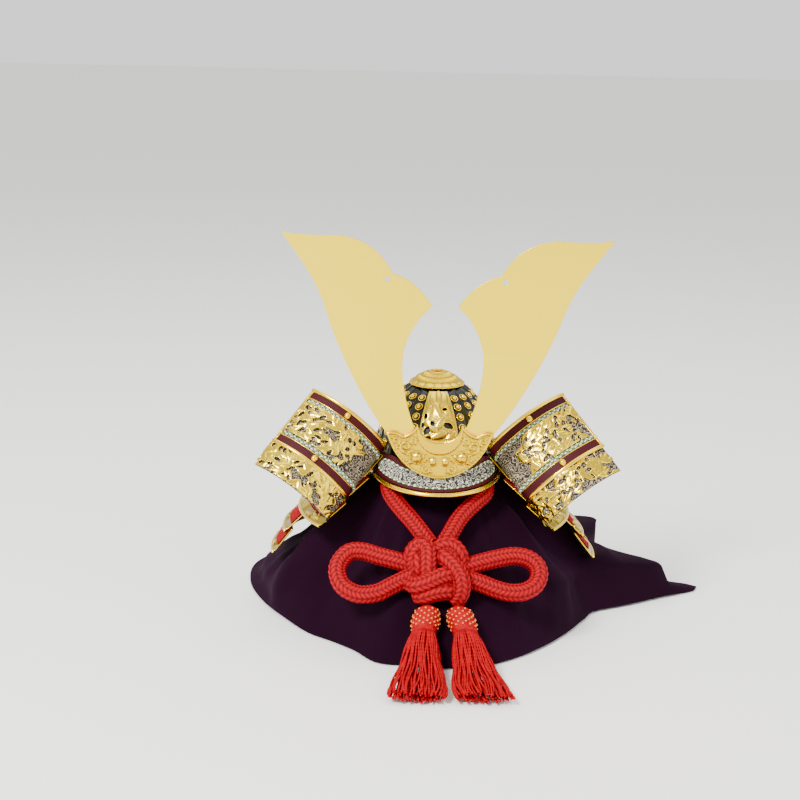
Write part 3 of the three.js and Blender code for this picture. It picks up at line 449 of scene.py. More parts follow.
silk = {"light": (182, 0, 16), "dark": (56, 0, 4), "duller": 0.86, "clouds": 420, "rough": 0.62,
        "specular": 0.12, "threads": 5, "threadShade": 0.3, "threadBump": 0.35, "threadDepth": 0.00012,
        "levels": [(0.0, grey(0)), (0.35, grey(0.3)), (0.8, grey(1))]}


def silkMaterial():
    # braided silk: relief and ply come from the piece's own attributes; the low places of the relief get
    # painted shade towards the dark colour, and thin lines of painted shade run between the threads
    material, tree, shader = newMaterial("redSilk")
    light, dark = silk["light"], srgb(*silk["dark"])
    relief = addNode(tree, "ShaderNodeAttribute", attribute_name="relief").outputs["Fac"]
    ply = addNode(tree, "ShaderNodeAttribute", attribute_name="ply").outputs["Fac"]
    where = objectPlace(tree)
    strand = calc(tree, "SINE", calc(tree, "MULTIPLY", ply, 2 * math.pi * silk["threads"]))
    # painted shade: the lower the braid's relief, the darker the silk
    level = ramp(tree, relief, silk["levels"])
    uneven = blendColour(tree, noise(tree, where, silk["clouds"], 3), srgb(*light),
                         srgb(*[c * silk["duller"] for c in light]))
    base = blendColour(tree, level, dark, uneven)
    lines = addNode(tree, "ShaderNodeMapRange", {"Value": strand, "From Min": -1.0, "From Max": 1.0,
                                                 "To Min": 0.0, "To Max": silk["threadShade"]}).outputs[0]
    tree.links.new(blendColour(tree, lines, base, dark), shader.inputs["Base Color"])
    shader.inputs["Roughness"].default_value = silk["rough"]
    shader.inputs["Specular IOR Level"].default_value = silk["specular"]
    tree.links.new(bump(tree, strand, silk["threadBump"], silk["threadDepth"]), shader.inputs["Normal"])
    return material


redSilk = silkMaterial()


# cords: braided silk; diameter is the real cord's, radius the tube's before its braid is raised

cordSettings = {"diameter": 13, "radius": 6.1, "columns": 8, "stitch": 3.1, "relief": 1.1, "step": 0.62,
                "sides": 60}


def braidTree():
    tree, start, end = newTree("braidedCord", [
        ("Radius", "Float", 0.006), ("Columns", "Float", 10.0), ("Stitch", "Float", 0.0026),
        ("Relief", "Float", 0.001), ("Step", "Float", 0.0005), ("Sides", "Int", 76)])
    given = start.outputs
    line = addNode(tree, "GeometryNodeMeshToCurve", {0: given["Geometry"]})
    even = addNode(tree, "GeometryNodeResampleCurve", {"Curve": line.outputs[0], "Length": given["Step"]},
                   mode="LENGTH")
    run = addNode(tree, "GeometryNodeSplineParameter")
    marked = addNode(tree, "GeometryNodeStoreNamedAttribute",
                     {"Geometry": even.outputs[0], "Name": "along", "Value": run.outputs["Length"]},
                     data_type="FLOAT", domain="POINT")
    ring = addNode(tree, "GeometryNodeCurvePrimitiveCircle",
                   {"Resolution": given["Sides"], "Radius": given["Radius"]}, mode="RADIUS")
    turn = addNode(tree, "GeometryNodeSplineParameter")
    rounded = addNode(tree, "GeometryNodeStoreNamedAttribute",
                      {"Geometry": ring.outputs[0], "Name": "around", "Value": turn.outputs["Factor"]},
                      data_type="FLOAT", domain="POINT")
    tube = addNode(tree, "GeometryNodeCurveToMesh",
                   {"Curve": marked.outputs[0], "Profile Curve": rounded.outputs[0], "Fill Caps": True})
    along, around = (addNode(tree, "GeometryNodeInputNamedAttribute", {"Name": name},
                             data_type="FLOAT").outputs[0] for name in ("along", "around"))
    # two families of plies cross on the cord; each column of stitches shows one of them
    rows = calc(tree, "DIVIDE", along, given["Stitch"])
    turns = calc(tree, "MULTIPLY", around, given["Columns"])
    p = calc(tree, "ADD", turns, rows)
    q = calc(tree, "SUBTRACT", turns, rows)
    column = calc(tree, "FLOORED_MODULO", calc(tree, "ADD", p, q), 4.0)
    first = calc(tree, "LESS_THAN", column, 2.0)
    across = calc(tree, "FRACT", calc(tree, "ADD", calc(tree, "MULTIPLY", first, p),
                                      calc(tree, "MULTIPLY", calc(tree, "SUBTRACT", 1.0, first), q)))
    side = calc(tree, "SUBTRACT", calc(tree, "MULTIPLY", across, 2.0), 1.0)
    hump = calc(tree, "SQRT", calc(tree, "SUBTRACT", 1.0, calc(tree, "MULTIPLY", side, side)))
    crown = calc(tree, "ABSOLUTE", calc(tree, "SINE", calc(tree, "MULTIPLY", column, math.pi / 2)))
    level = calc(tree, "MULTIPLY", hump, calc(tree, "MULTIPLY_ADD", crown, 0.6, 0.4))
    push = calc(tree, "MULTIPLY", calc(tree, "SUBTRACT", level, 0.45), given["Relief"])
    normal = addNode(tree, "GeometryNodeInputNormal").outputs[0]
    offset = addNode(tree, "ShaderNodeVectorMath", {0: normal, "Scale": push}, operation="SCALE").outputs[0]
    shaped = addNode(tree, "GeometryNodeSetPosition", {"Geometry": tube.outputs[0], "Offset": offset})
    # this relief level also sets the silk's painted shade in the braid's grooves
    relief = addNode(tree, "GeometryNodeStoreNamedAttribute",
                     {"Geometry": shaped.outputs[0], "Name": "relief", "Value": level},
                     data_type="FLOAT", domain="POINT")
    ply = addNode(tree, "GeometryNodeStoreNamedAttribute",
                  {"Geometry": relief.outputs[0], "Name": "ply", "Value": across},
                  data_type="FLOAT", domain="POINT")
    return endTree(tree, start, end, ply.outputs[0])


braid = braidTree()


def braidValues(**changes):
    s = {**cordSettings, **changes}
    lengths = {key.capitalize(): s[key] * toMetres for key in ("radius", "stitch", "relief", "step")}
    return {**lengths, "Columns": float(s["columns"]), "Sides": s["sides"], "Material": redSilk}


# routes, in millimetres
chinRoute = [
    (-5.5, -86.5, 76), (-11.2, -80.7, 82), (-17.5, -73.3, 88.2), (-24, -66, 93.5), (-30.5, -57, 99),
    (-34.5, -49.5, 103.5), (-35.5, -43, 107), (-34.5, -36, 110.5), (-32, -27.5, 113.8), (-29.5, -18.5, 118.5),
    (-30.5, -8, 124.5), (-32.5, 4, 128.5), (-29.5, 18, 130), (-19, 28.5, 130), (0, 34.3, 130),
    (19, 28.5, 130), (29.5, 18, 130), (32.5, 4, 128.5), (30.5, -8, 124.5), (29.5, -18.5, 118.5),
    (32, -27.5, 113.8), (35, -36, 110.5), (36.5, -43, 107), (35, -49.5, 103.5), (28.5, -57, 100),
    (20, -66, 94.5), (14, -73, 89), (9, -80.5, 82.5), (4.5, -86, 77),
]
bowLeftRoute = [
    (-16, -92.5, 61.5), (-27.3, -91.2, 64.3), (-35, -90, 66), (-43, -88.5, 67.5), (-54, -86.5, 70),
    (-64, -87, 69.5), (-71, -91.5, 63.5), (-72.5, -97, 56.5), (-68, -103, 49), (-57, -106, 44.5),
    (-44, -105.5, 45.5), (-35, -102.5, 49), (-26, -100, 53), (-16, -97.5, 57),
]
bowRightRoute = [
    (14, -93.5, 60), (24.7, -92, 62.8), (34, -90.2, 65), (44, -88.5, 67), (55, -87.3, 68.5),
    (65, -88.4, 67.2), (71.8, -92, 62.8), (73.2, -96.8, 56.8), (69.5, -101.2, 50.8), (61, -104, 47.2),
    (51, -104.4, 46.8), (42, -103, 48.5), (34, -101, 51), (24.7, -99.3, 53.8), (14, -97.5, 57),
]


def makeCord(name, route, node):
    cord = growNodes(lineObject(name, smoothPath(route, 1.0)), braid, braidValues())
    return dress(cord, "red_silk", node)


chinCord = makeCord("chinCord", chinRoute, "chin_cord")
bowLeft = makeCord("bowLoopLeft", bowLeftRoute, "bow_left")
bowRight = makeCord("bowLoopRight", bowRightRoute, "bow_right")
print("cords are braided")


# knot: the same cord crossing over itself; a is sideways, b up the slope, h out of it

knotSettings = {"middle": (-0.5, -96.5, 59.5), "slope": 52.5, "radius": 6.3, "sides": 52, "step": 0.7}
knotTurns = [
    [(-15, -2, -6), (-18.5, 5, 0), (-17.5, 12, 5), (-12, 16.5, 7.5), (-7.5, 12.5, 9), (-7, 5, 9.5), (-7, -3, 7),
     (-7, -10, 0)],
    [(-13, 15, -3), (-13.5, 9, 4), (-13, 2, 5), (-12, -5, -2)],
    [(-4, 6, -2), (-1, 13, 4), (5, 17, 6.5), (11, 16, 6.5), (15.5, 11, 5), (17, 5, 0), (16, -1, -5)],
    [(1, 12, 0), (5, 7, 8), (10, 2, 10), (14.5, -4, 9.5), (17, -11, 8), (16.5, -17, 4), (13, -21, -2)],
    [(13, -9, -3), (11, -6, 4), (5, -6.5, 9), (-2, -9.5, 10), (-9, -12.5, 9), (-15, -13, 6), (-19, -9, 0),
     (-18, -3, -6)],
    [(12, -15, -3), (6, -16, 4), (-2, -17.5, 5), (-9, -19, 2), (-13, -17, -4)],
    [(-21, 2, -4), (-10, 0, -2), (2, 0, -1), (12, -1, -2), (20, 1, -4)],
    [(-8, 17, -5), (-4, 6, -4), (0, -6, -4), (4, -18, -4)],
]


def knotPlace(turn):
    slope = radians(knotSettings["slope"])
    x, y, z = knotSettings["middle"]
    return [(x + a, y + b * math.cos(slope) - h * math.sin(slope),
             z + b * math.sin(slope) + h * math.cos(slope)) for a, b, h in turn]


def makeKnot():
    values = braidValues(**{key: knotSettings[key] for key in ("radius", "sides", "step")})
    turns = [growNodes(lineObject("knotTurn", smoothPath(knotPlace(turn), 1.0)), braid, values)
             for turn in knotTurns]
    return dress(joinPieces("knot", turns), "red_silk", "knot")


knot = makeKnot()
print("knot is tied")


# bowl: lapped plates with raised edges and rows of studs

bowl = {"halfWidth": 45, "halfLength": 50, "rise": 58, "rimZ": 124, "wall": 1.8, "plates": 20,
        "edgeHeight": 1.0, "edgeFadeTilt": 12, "edgeFadeOver": 20, "holeRadius": 6, "rows": 44,
        "insideRows": 16}
bowlPlate = [   # share of the plate's width, share of its edge's height
    (0, 0.9), (0.045, 1.0), (0.075, 1.0), (0.1, 0.55), (0.14, 0.0), (0.3, -0.05), (0.5, -0.12), (0.7, -0.2),
    (0.88, -0.28),
]


def bowlPoint(azimuth, tilt, lift=0.0):
    # azimuth runs from the front towards +X, tilt from the top down
    a, t = np.radians(azimuth), np.radians(tilt)
    return np.stack([(bowl["halfWidth"] + lift) * np.sin(t) * np.sin(a),
                     -(bowl["halfLength"] + lift) * np.sin(t) * np.cos(a),
                     bowl["rimZ"] + (bowl["rise"] + lift) * np.cos(t) + 0 * a], axis=-1)


def bowlNormal(azimuth, tilt):
    return unit(bowlPoint(azimuth, tilt, 1.0) - bowlPoint(azimuth, tilt, 0.0))


def makeBowl():
    pitch = 360 / bowl["plates"]
    shares, heights = np.array(bowlPlate).T
    azimuths = np.concatenate([(k + shares) * pitch for k in range(bowl["plates"])])
    lifts = np.tile(heights, bowl["plates"]) * bowl["edgeHeight"]
    topTilt = math.degrees(math.asin(bowl["holeRadius"] / bowl["halfWidth"]))
    grid = []
    for tilt in np.linspace(topTilt, 90, bowl["rows"]):
        fade = np.clip((tilt - bowl["edgeFadeTilt"]) / bowl["edgeFadeOver"], 0.15, 1)
        grid.append(bowlPoint(azimuths, tilt, lifts * fade))
    inside = np.linspace(90, topTilt, bowl["insideRows"])
    grid += [bowlPoint(azimuths, tilt, -bowl["wall"]) for tilt in inside]
    shell = ringBody("bowlShell", grid, blackLacquer)
    return dress(shell, "black_lacquer", "bowl")


studs = {"firstTilt": 36, "step": 8.5, "count": 6, "firstRow": 26, "sink": 0.25, "radius": 1.75, "height": 2.5,
         "sides": 12, "ringRadius": 2.75, "ringWire": 0.36, "ringLift": 0.55, "ringSides": 16, "wireSides": 6}
studProfile = [   # shares of the radius and of the height
    (0.0, 1.0), (0.38, 0.94), (0.7, 0.78), (0.93, 0.52), (1.0, 0.3), (0.9, 0.08), (0.9, -0.15),
]


def turnsOf(count):
    return [2 * math.pi * i / count for i in range(count)]


def studMesh():
    # one stud: a dome with a small waist on a wire ring
    s = studs
    points = [(r * s["radius"] * math.cos(a), r * s["radius"] * math.sin(a), h * s["height"])
              for r, h in studProfile for a in turnsOf(s["sides"])]
    faces = gridFaces(len(studProfile), s["sides"], wrapColumns=True)
    base = len(points)
    for a in turnsOf(s["ringSides"]):
        for b in turnsOf(s["wireSides"]):
            r = s["ringRadius"] + s["ringWire"] * math.cos(b)
            points.append((r * math.cos(a), r * math.sin(a), s["ringLift"] + s["ringWire"] * math.sin(b)))
    faces += [tuple(base + i for i in face)
              for face in gridFaces(s["ringSides"], s["wireSides"], wrapRows=True, wrapColumns=True)]
    return closeUp(makeMesh("studPattern", points, faces, gold))


def scatterTree(name):
    # puts a pattern on every point of the seed, turned to the seed's "out" and "way" directions
    tree, start, end = newTree(name, [("Pattern", "Object", None), ("Size", "Float", 1.0)])
    pattern = addNode(tree, "GeometryNodeObjectInfo", {"Object": start.outputs["Pattern"]},
                      transform_space="ORIGINAL")
    out = addNode(tree, "GeometryNodeInputNamedAttribute", {"Name": "out"}, data_type="FLOAT_VECTOR")
    way = addNode(tree, "GeometryNodeInputNamedAttribute", {"Name": "way"}, data_type="FLOAT_VECTOR")
    turned = addNode(tree, "FunctionNodeAxesToRotation", {0: out.outputs[0], 1: way.outputs[0]},
                     primary_axis="Z", secondary_axis="X")
    copies = addNode(tree, "GeometryNodeInstanceOnPoints", {
        "Points": start.outputs["Geometry"], "Instance": pattern.outputs["Geometry"],
        "Rotation": turned.outputs[0], "Scale": start.outputs["Size"]})
    return endTree(tree, start, end, copies.outputs[0])


scatter = scatterTree("setInPlace")


def scatterPieces(name, pattern, points, out, way, material, size=1.0):
    seed = makeMesh(name, points, [], None)
    for label, values in (("out", out), ("way", way)):
        attribute = seed.data.attributes.new(label, "FLOAT_VECTOR", "POINT")
        attribute.data.foreach_set("vector", np.asarray(values, np.float32).ravel())
    return growNodes(seed, scatter, {"Pattern": pattern, "Size": size, "Material": material})


def dropPattern(pattern):
    mesh = pattern.data
    bpy.data.objects.remove(pattern)
    bpy.data.meshes.remove(mesh)


def makeStuds():
    pitch = 360 / bowl["plates"]
    azimuths, tilts = [], []
    for k in range(bowl["plates"]):
        azimuth = (k + 0.5) * pitch
        if min(azimuth, 360 - azimuth) > studs["firstRow"]:
            for i in range(studs["count"]):
                azimuths.append(azimuth)
                tilts.append(studs["firstTilt"] + i * studs["step"])
    azimuths, tilts = np.array(azimuths), np.array(tilts)
    points = bowlPoint(azimuths, tilts, -studs["sink"])
    out = bowlNormal(azimuths, tilts)
    pattern = studMesh()
    placed = scatterPieces("bowlStuds", pattern, points, out, np.cross(out, (0, 0, 1.0)), gold)
    dropPattern(pattern)
    return dress(placed, "gold")


makeBowl()
makeStuds()


# crown ring: stepped petals round the hole

crown = {"petals": 16, "ribs": 64, "depthScale": 1.08, "columns": 256, "foot": 177.4, "flat": 0.8,
         "girth": 0.96, "seatRadii": (20.2, 17.0, 13.0, 9.0)}
crownSteps = [   # radius, height, petal depth, rib depth
    (5.0, 181.8, 0, 0), (5.0, 188.6, 0, 0), (5.3, 189.4, 0, 0), (6.1, 189.6, 0, 0), (6.9, 189.2, 0, 0),
    (7.3, 188.3, 0, 0.15), (8.6, 187.9, 0, 0.30), (10.4, 187.2, 0, 0.45), (12.0, 186.3, 0, 0.30),
    (12.6, 185.6, 0.1, 0), (12.8, 184.9, 0.2, 0), (13.6, 184.6, 0.2, 0.38), (15.4, 183.9, 0.3, 0.45),
    (17.0, 182.6, 0.4, 0.30), (17.5, 181.8, 0.4, 0), (17.9, 181.0, 0.5, 0), (19.0, 180.4, 0.8, 0.15),
    (20.6, 179.4, 1.1, 0.15), (21.7, 178.2, 1.2, 0), (21.9, 177.4, 1.2, 0),
]


def makeCrownRing():
    turn = np.linspace(0, 2 * np.pi, crown["columns"], endpoint=False)
    petal = np.abs(np.cos(turn * crown["petals"] / 2)) ** 0.6 - 0.6
    rib = np.cos(turn * crown["ribs"])
    rows = []
    for r, z, scallop, ribDepth in crownSteps:
        radius = r * crown["girth"] + scallop * petal
        z = mix(crown["foot"], z, crown["flat"])
        rows.append(np.stack([radius * np.sin(turn), -radius * np.cos(turn) * crown["depthScale"],
                              z + ribDepth * rib + 0.4 * scallop * petal], axis=1))
    for r in crown["seatRadii"]:   # the underside lies just over the bowl
        seat = bowl["rimZ"] + 0.6 + (bowl["rise"] + 1) * math.sqrt(1 - (r / (bowl["halfWidth"] + 1)) ** 2)
        rows.append(np.stack([r * np.sin(turn), -r * np.cos(turn) * crown["depthScale"], seat + 0 * turn],
                             axis=1))
    return dress(ringBody("crownRing", rows, warmGold), "gold", "crown_ring")


makeCrownRing()


# leaves in relief: a height map of overlapping blades over a plate, pierced where none lies

leaf = {"widest": 0.72, "fullness": 0.8, "round": 1.5, "vein": 0.3, "veinWidth": 0.06, "edgeShade": 0.8,
        "veinShade": 0.25, "veinShadeWidth": 0.05, "groundShade": 0.1, "smoothRounds": 3}


def bladeHeight(x, y, blades):
    # highest blade at each place, or nan where the plate is open, and how dark it is
    height = np.full(x.shape, np.nan)
    shade = np.zeros(x.shape)
    for blade in blades:
        c, s = math.cos(blade["turn"]), math.sin(blade["turn"])
        u = ((x - blade["x"]) * c + (y - blade["y"]) * s) / blade["length"]
        bent = blade.get("bend", 0.0) * blade["length"] * (u * u - 0.25)
        v = (-(x - blade["x"]) * s + (y - blade["y"]) * c - bent) / blade["width"]
        inside = np.abs(u) < 0.5
        outline = np.sin(np.pi * np.clip(u + 0.5, 0, 1) ** leaf["widest"]) ** leaf["fullness"]
        shape = np.where(inside, outline, 0)
        reach = 0.5 * np.maximum(shape, 1e-4)
        near = np.abs(v) / reach
        level = blade["base"] + blade["rise"] * (1 - near ** leaf["round"]) * (0.45 + 0.55 * shape)
        level -= blade["rise"] * leaf["vein"] * np.exp(-((v / leaf["veinWidth"]) ** 2)) * (near < 1)
        on = inside & (near < 1)
        on = on & (np.isnan(height) | (level > height))
        height = np.where(on, level, height)
        dark = leaf["edgeShade"] * np.clip(near, 0, 1) ** 5
        dark = dark + leaf["veinShade"] * np.exp(-((v / leaf["veinShadeWidth"]) ** 2))
        shade = np.where(on, dark, shade)
    return height, shade


def reliefPiece(name, wide, high, step, blades, surface, material, thickness, holes, ground=None):
    # surface(x, y, lift) gives the place of a point of the plate; ground(x, y) closes it between the blades
    nx, ny = int(wide / step) + 1, int(high / step) + 1
    x, y = np.meshgrid(np.linspace(0, wide, nx), np.linspace(0, high, ny), indexing="ij")
    height, shade = bladeHeight(x, y, blades)
    if ground is not None:
        level = ground(x, y)
        bare = np.isnan(height) | (level > height)
        shade = np.where(bare, leaf["groundShade"], shade)
        height = np.where(bare, level, height)
    for hx, hy, halfLength, halfWidth, turn in holes:
        u = ((x - hx) * math.cos(turn) + (y - hy) * math.sin(turn)) / halfLength
        v = ((y - hy) * math.cos(turn) - (x - hx) * math.sin(turn)) / halfWidth
        height[np.abs(v) < 1 - u * u] = np.nan
    solid = ~np.isnan(height)
    points = surface(x, y, np.where(solid, height, 0))
    faces = [face for face in gridFaces(nx, ny) if all(solid.flat[i] for i in face)]
    used = sorted({i for face in faces for i in face})
    number = {old: new for new, old in enumerate(used)}
    piece = makeMesh(name, points.reshape(-1, 3)[used], [[number[i] for i in face] for face in faces],
                     material)
    piece.data.attributes.new("shade", "FLOAT", "POINT").data.foreach_set("value", shade.ravel()[used])
    work = bmesh.new()
    work.from_mesh(piece.data)
    edge = [v for v in work.verts if v.is_boundary]
    for _ in range(leaf["smoothRounds"]):
        bmesh.ops.smooth_vert(work, verts=edge, factor=0.5, use_axis_x=True, use_axis_y=True,
                              use_axis_z=True)
    work.to_mesh(piece.data)
    work.free()
    return thicken(piece, thickness)


def randomBlades(seed, wide, high, count, length, width, base, rise):
    # fans of two to four blades, each fan from one place
    pick = random.Random(seed)
    blades = []
    for _ in range(count):
        x, y = pick.uniform(0.02, 0.98) * wide, pick.uniform(0.06, 0.94) * high
        heading = pick.uniform(0, math.pi)
        for fan in range(pick.choice((2, 3, 3, 4))):
            turn = heading + (fan - 1) * pick.uniform(0.45, 0.7)
            size = length * pick.uniform(0.75, 1.2)
            blades.append({"x": x + 0.42 * size * math.cos(turn), "y": y + 0.42 * size * math.sin(turn),
                           "turn": turn, "length": size, "width": width * pick.uniform(0.8, 1.25),
                           "bend": pick.uniform(-0.18, 0.18), "base": base + 0.2 * pick.randrange(5),
                           "rise": rise * pick.uniform(0.8, 1.15)})
    return blades


def randomHoles(seed, wide, high, count):
    # small pointed openings between the leaves: middle, half length, half width and turn
    pick = random.Random(seed)
    return [(pick.uniform(0.06, 0.94) * wide, pick.uniform(0.04, 0.96) * high, pick.uniform(1.6, 3.0),
             pick.uniform(0.8, 1.3), pick.uniform(0, math.pi)) for _ in range(count)]


# front plate

frontPlate = {"top": 30, "bottom": 74, "halfTop": 16, "halfBottom": 20.5, "lift": 1.2, "step": 0.48,
              "wide": 26, "high": 44, "thickness": 0.8, "seed": 11, "base": 0.45, "layer": 0.14, "rise": 0.7,
              "ground": 0.35, "borderRise": 0.25, "border": 0.9}
frontLeaves = [   # middle, turn, length and width
    (7, 9, 1.2, 15, 7), (19, 9, 1.9, 15, 7), (13, 6, 1.57, 14, 7), (5, 21, 1.7, 14, 6), (21, 20, 1.4, 14, 6),
    (12, 18, 1.1, 16, 7), (15, 27, 2.2, 15, 6), (8, 30, 0.9, 14, 6), (19, 32, 1.2, 13, 5), (5, 38, 0.5, 12, 5),
    (13, 37, 2.7, 13, 5.5), (21, 39, 2.2, 12, 5), (13, 42, 0.1, 16, 4.5), (4, 42, 2.6, 9, 4),
]
frontHoles = [   # middle, half length, half width and turn
    (18.4, 16.8, 2.1, 0.9, 0), (3.1, 22.7, 2.0, 1.1, 1.3), (8.9, 28.2, 2.2, 1.1, 0.7),
    (19.8, 29.7, 3.4, 2.0, 0.5), (5.3, 33.6, 2.9, 1.5, 1.9), (1.9, 29.5, 1.7, 0.9, 1.4),
    (6.2, 39.6, 2.2, 1.3, 2.4), (19.3, 41, 2.8, 1.0, -0.3),
]


def makeFrontPlate():
    s = frontPlate

    def surface(x, y, lift):
        t = y / s["high"]
        half = mix(s["halfTop"], s["halfBottom"], t ** 0.7)
        return bowlPoint((x / s["wide"] * 2 - 1) * half, mix(s["top"], s["bottom"], t), s["lift"] + lift)

    pick = random.Random(s["seed"])
    blades = [{"x": 13, "y": 10, "turn": math.pi / 2, "length": 30, "width": 34, "base": 0.3, "rise": 0.5}]
    for k, (x, y, turn, length, width) in enumerate(frontLeaves):
        blades.append({"x": x, "y": y, "turn": turn, "length": length, "width": width,
                       "bend": pick.uniform(-0.15, 0.15), "base": s["base"] + s["layer"] * (k % 4),
                       "rise": s["rise"]})

    def border(x, y):
        edge = np.minimum(np.minimum(x, s["wide"] - x), y)
        return s["ground"] + s["borderRise"] * (edge < s["border"])

    plate = reliefPiece("frontPlate", s["wide"], s["high"], s["step"], blades, surface, leafGold,
                        s["thickness"], frontHoles, ground=border)
    return dress(plate, "gold", "front_plate")


makeFrontPlate()


# rim band, visor and its rolled rim

rimBand = {"bottomZ": 120.3, "topZ": 123.7, "grooveZ": 122.0, "clear": 1.3, "thickness": 2.8, "columns": 144}


def makeRimBand():
    s = rimBand
    turn = np.linspace(0, 2 * np.pi, s["columns"], endpoint=False)
    low, groove, high = s["bottomZ"], s["grooveZ"], s["topZ"]
    profile = [(-0.3, low), (0, low + 0.3), (0.1, low + 1.2), (-0.25, groove), (0.1, groove + 0.7),
               (0, high - 0.2), (-0.3, high), (-s["thickness"], high), (-s["thickness"], low)]
    rows = [np.stack([(bowl["halfWidth"] + s["clear"] + out) * np.sin(turn),
                      -(bowl["halfLength"] + s["clear"] + out) * np.cos(turn), z + 0 * turn], axis=1)
            for out, z in profile]
    return dress(ringBody("rimBand", rows, gold), "gold", "rim_band")


makeRimBand()

visor = {"endAngle": 65, "outerHalfWidth": 48, "outerHalfLength": 55, "outerCentreY": -20, "frontZ": 110.7,
         "endRise": 5.5, "innerZ": 123, "innerRise": 3, "innerClear": 1.7, "bulge": 2.5, "thickness": 1.8,
         "taperFrom": 0.8, "taper": 0.94, "rimRadius": 1.7, "rimGap": 0.45, "faceShare": 0.925, "columns": 121,
         "rows": 36, "stitchAt": 4.2, "stitchShare": 0.79, "steepShare": 0.62, "cornerAt": 0.7,
         "cornerWidth": 0.2, "cornerRise": 4.5}


def visorPoint(u, w, drop=0.0):
    # u runs from end to end, -1 to 1, and w from the bowl, 0, to the rim, 1
    a, s = np.radians(visor["endAngle"] * u), np.radians(90 * u)
    clear = visor["innerClear"]
    inner = np.stack([(bowl["halfWidth"] + clear) * np.sin(a), -(bowl["halfLength"] + clear) * np.cos(a),
                      visor["innerZ"] + visor["innerRise"] * u * u], axis=-1)
    outer = np.stack([visor["outerHalfWidth"] * np.sin(s),
                      visor["outerCentreY"] - visor["outerHalfLength"] * np.cos(s),
                      visor["frontZ"] + visor["endRise"] * u * u], axis=-1)
    past = np.maximum(0, (np.abs(u) - visor["taperFrom"]) / (1 - visor["taperFrom"]))
    narrow = np.sqrt(np.maximum(1 - visor["taper"] * past * past, 0.0))
    p = mix(inner, outer, (w * narrow)[..., None])
    corner = visor["cornerRise"] * np.exp(-((np.abs(u) - visor["cornerAt"]) / visor["cornerWidth"]) ** 2)
    p[..., 2] += visor["bulge"] * np.sin(np.pi * w) * narrow + corner * (1 - w) - drop
    return p


leather = {"drift": 260, "driftBy": 0.0035, "cells": 300, "rings": 19.0, "spots": 900, "spotShare": 0.55,
           "clouds": 70, "cloudTone": 0.85, "edgeClouds": 500, "edgeTone": 0.7, "rough": 0.6, "specular": 0.18,
           "grain": 1500, "grainBump": 0.3, "grainDepth": 0.0001}


def printedLeather(name, light, dark, edge, scale, border):
    # pale leather with a dark scroll print; V is the distance from the piece's edge in millimetres, and
    # all that lies nearer to it than border is plain dark red
    material, tree, shader = newMaterial(name)
    where = objectPlace(tree)
    drift = addNode(tree, "ShaderNodeTexNoise",
                    {"Vector": where, "Scale": leather["drift"] * scale, "Detail": 2.0})
    moved = addNode(tree, "ShaderNodeVectorMath", {0: drift.outputs["Color"], 1: (0.5, 0.5, 0.5)},
                    operation="SUBTRACT").outputs[0]
    moved = addNode(tree, "ShaderNodeVectorMath", {0: moved, "Scale": leather["driftBy"]},
                    operation="SCALE").outputs[0]
    warped = addNode(tree, "ShaderNodeVectorMath", {0: where, 1: moved}, operation="ADD").outputs[0]
    cells = addNode(tree, "ShaderNodeTexVoronoi", {"Vector": warped, "Scale": leather["cells"] * scale})
    rings = calc(tree, "SINE", calc(tree, "MULTIPLY", cells.outputs["Distance"], leather["rings"]))
    scrolls = ramp(tree, rings, [(0.3, grey(0)), (0.5, grey(1))])
    spots = ramp(tree, noise(tree, where, leather["spots"] * scale, 2), [(0.4, grey(0)), (0.52, grey(1))])
    drawn = calc(tree, "MULTIPLY", scrolls,
                 calc(tree, "MULTIPLY_ADD", spots, leather["spotShare"], 1 - leather["spotShare"]))
    cloudy = noise(tree, where, leather["clouds"], 3)
    ground = blendColour(tree, cloudy, srgb(*light), srgb(*[c * leather["cloudTone"] for c in light]))
    base = blendColour(tree, drawn, srgb(*dark), ground)
    uv = addNode(tree, "ShaderNodeTexCoord").outputs["UV"]
    v = addNode(tree, "ShaderNodeSeparateXYZ", {0: uv}).outputs[1]
    red = blendColour(tree, noise(tree, where, leather["edgeClouds"], 2), srgb(*edge),
                      srgb(*[c * leather["edgeTone"] for c in edge]))
    inBorder = calc(tree, "LESS_THAN", v, border)
    tree.links.new(blendColour(tree, inBorder, base, red), shader.inputs["Base Color"])
    shader.inputs["Roughness"].default_value = leather["rough"]
    shader.inputs["Specular IOR Level"].default_value = leather["specular"]
    grain = noise(tree, where, leather["grain"], 3)
    tree.links.new(bump(tree, grain, leather["grainBump"], leather["grainDepth"]), shader.inputs["Normal"])
    return material


darkRed = (64, 1, 12)
visorLeather = printedLeather("visorLeather", (222, 220, 204), (44, 40, 32), darkRed, 0.85, 3.2)
guardLeather = printedLeather("guardLeather", (180, 166, 138), (38, 29, 21), darkRed, 0.9, 8.6)


def makeVisor():
    us = np.sin((np.pi / 2) * np.linspace(-1, 1, visor["columns"])) * visor["faceShare"]
    ws = np.linspace(0, 1, visor["rows"])
    reach = []
    for u in us:
        here = np.array(u)
        width = np.linalg.norm(visorPoint(here, np.array(0.0)) - visorPoint(here, np.array(1.0)))
        reach.append(1 - (visor["rimRadius"] + visor["rimGap"]) / width)
    uu, ww = np.meshgrid(us, ws, indexing="ij")
    across = ww * np.array(reach)[:, None]
    face = visorPoint(uu, across)
    # distance of every point from the visor's edge, for the dark red border
    flat = face.reshape(-1, 3)
    inner = np.concatenate([face[:, 0], face[0], face[-1]])
    toOutline, toInner = (np.min(np.linalg.norm(flat[:, None, :] - line[None, ::2, :], axis=2), axis=1)
                          .reshape(uu.shape) for line in (face[:, -1], inner))
    far = np.minimum(toOutline, toInner * visor["steepShare"])
    back = visorPoint(uu, across, visor["thickness"])
    peak = slab("visorLeather", face, back, visorLeather, uv=np.stack([uu * 60, far], axis=-1))
    return dress(peak, "printed_leather", "visor")


makeVisor()


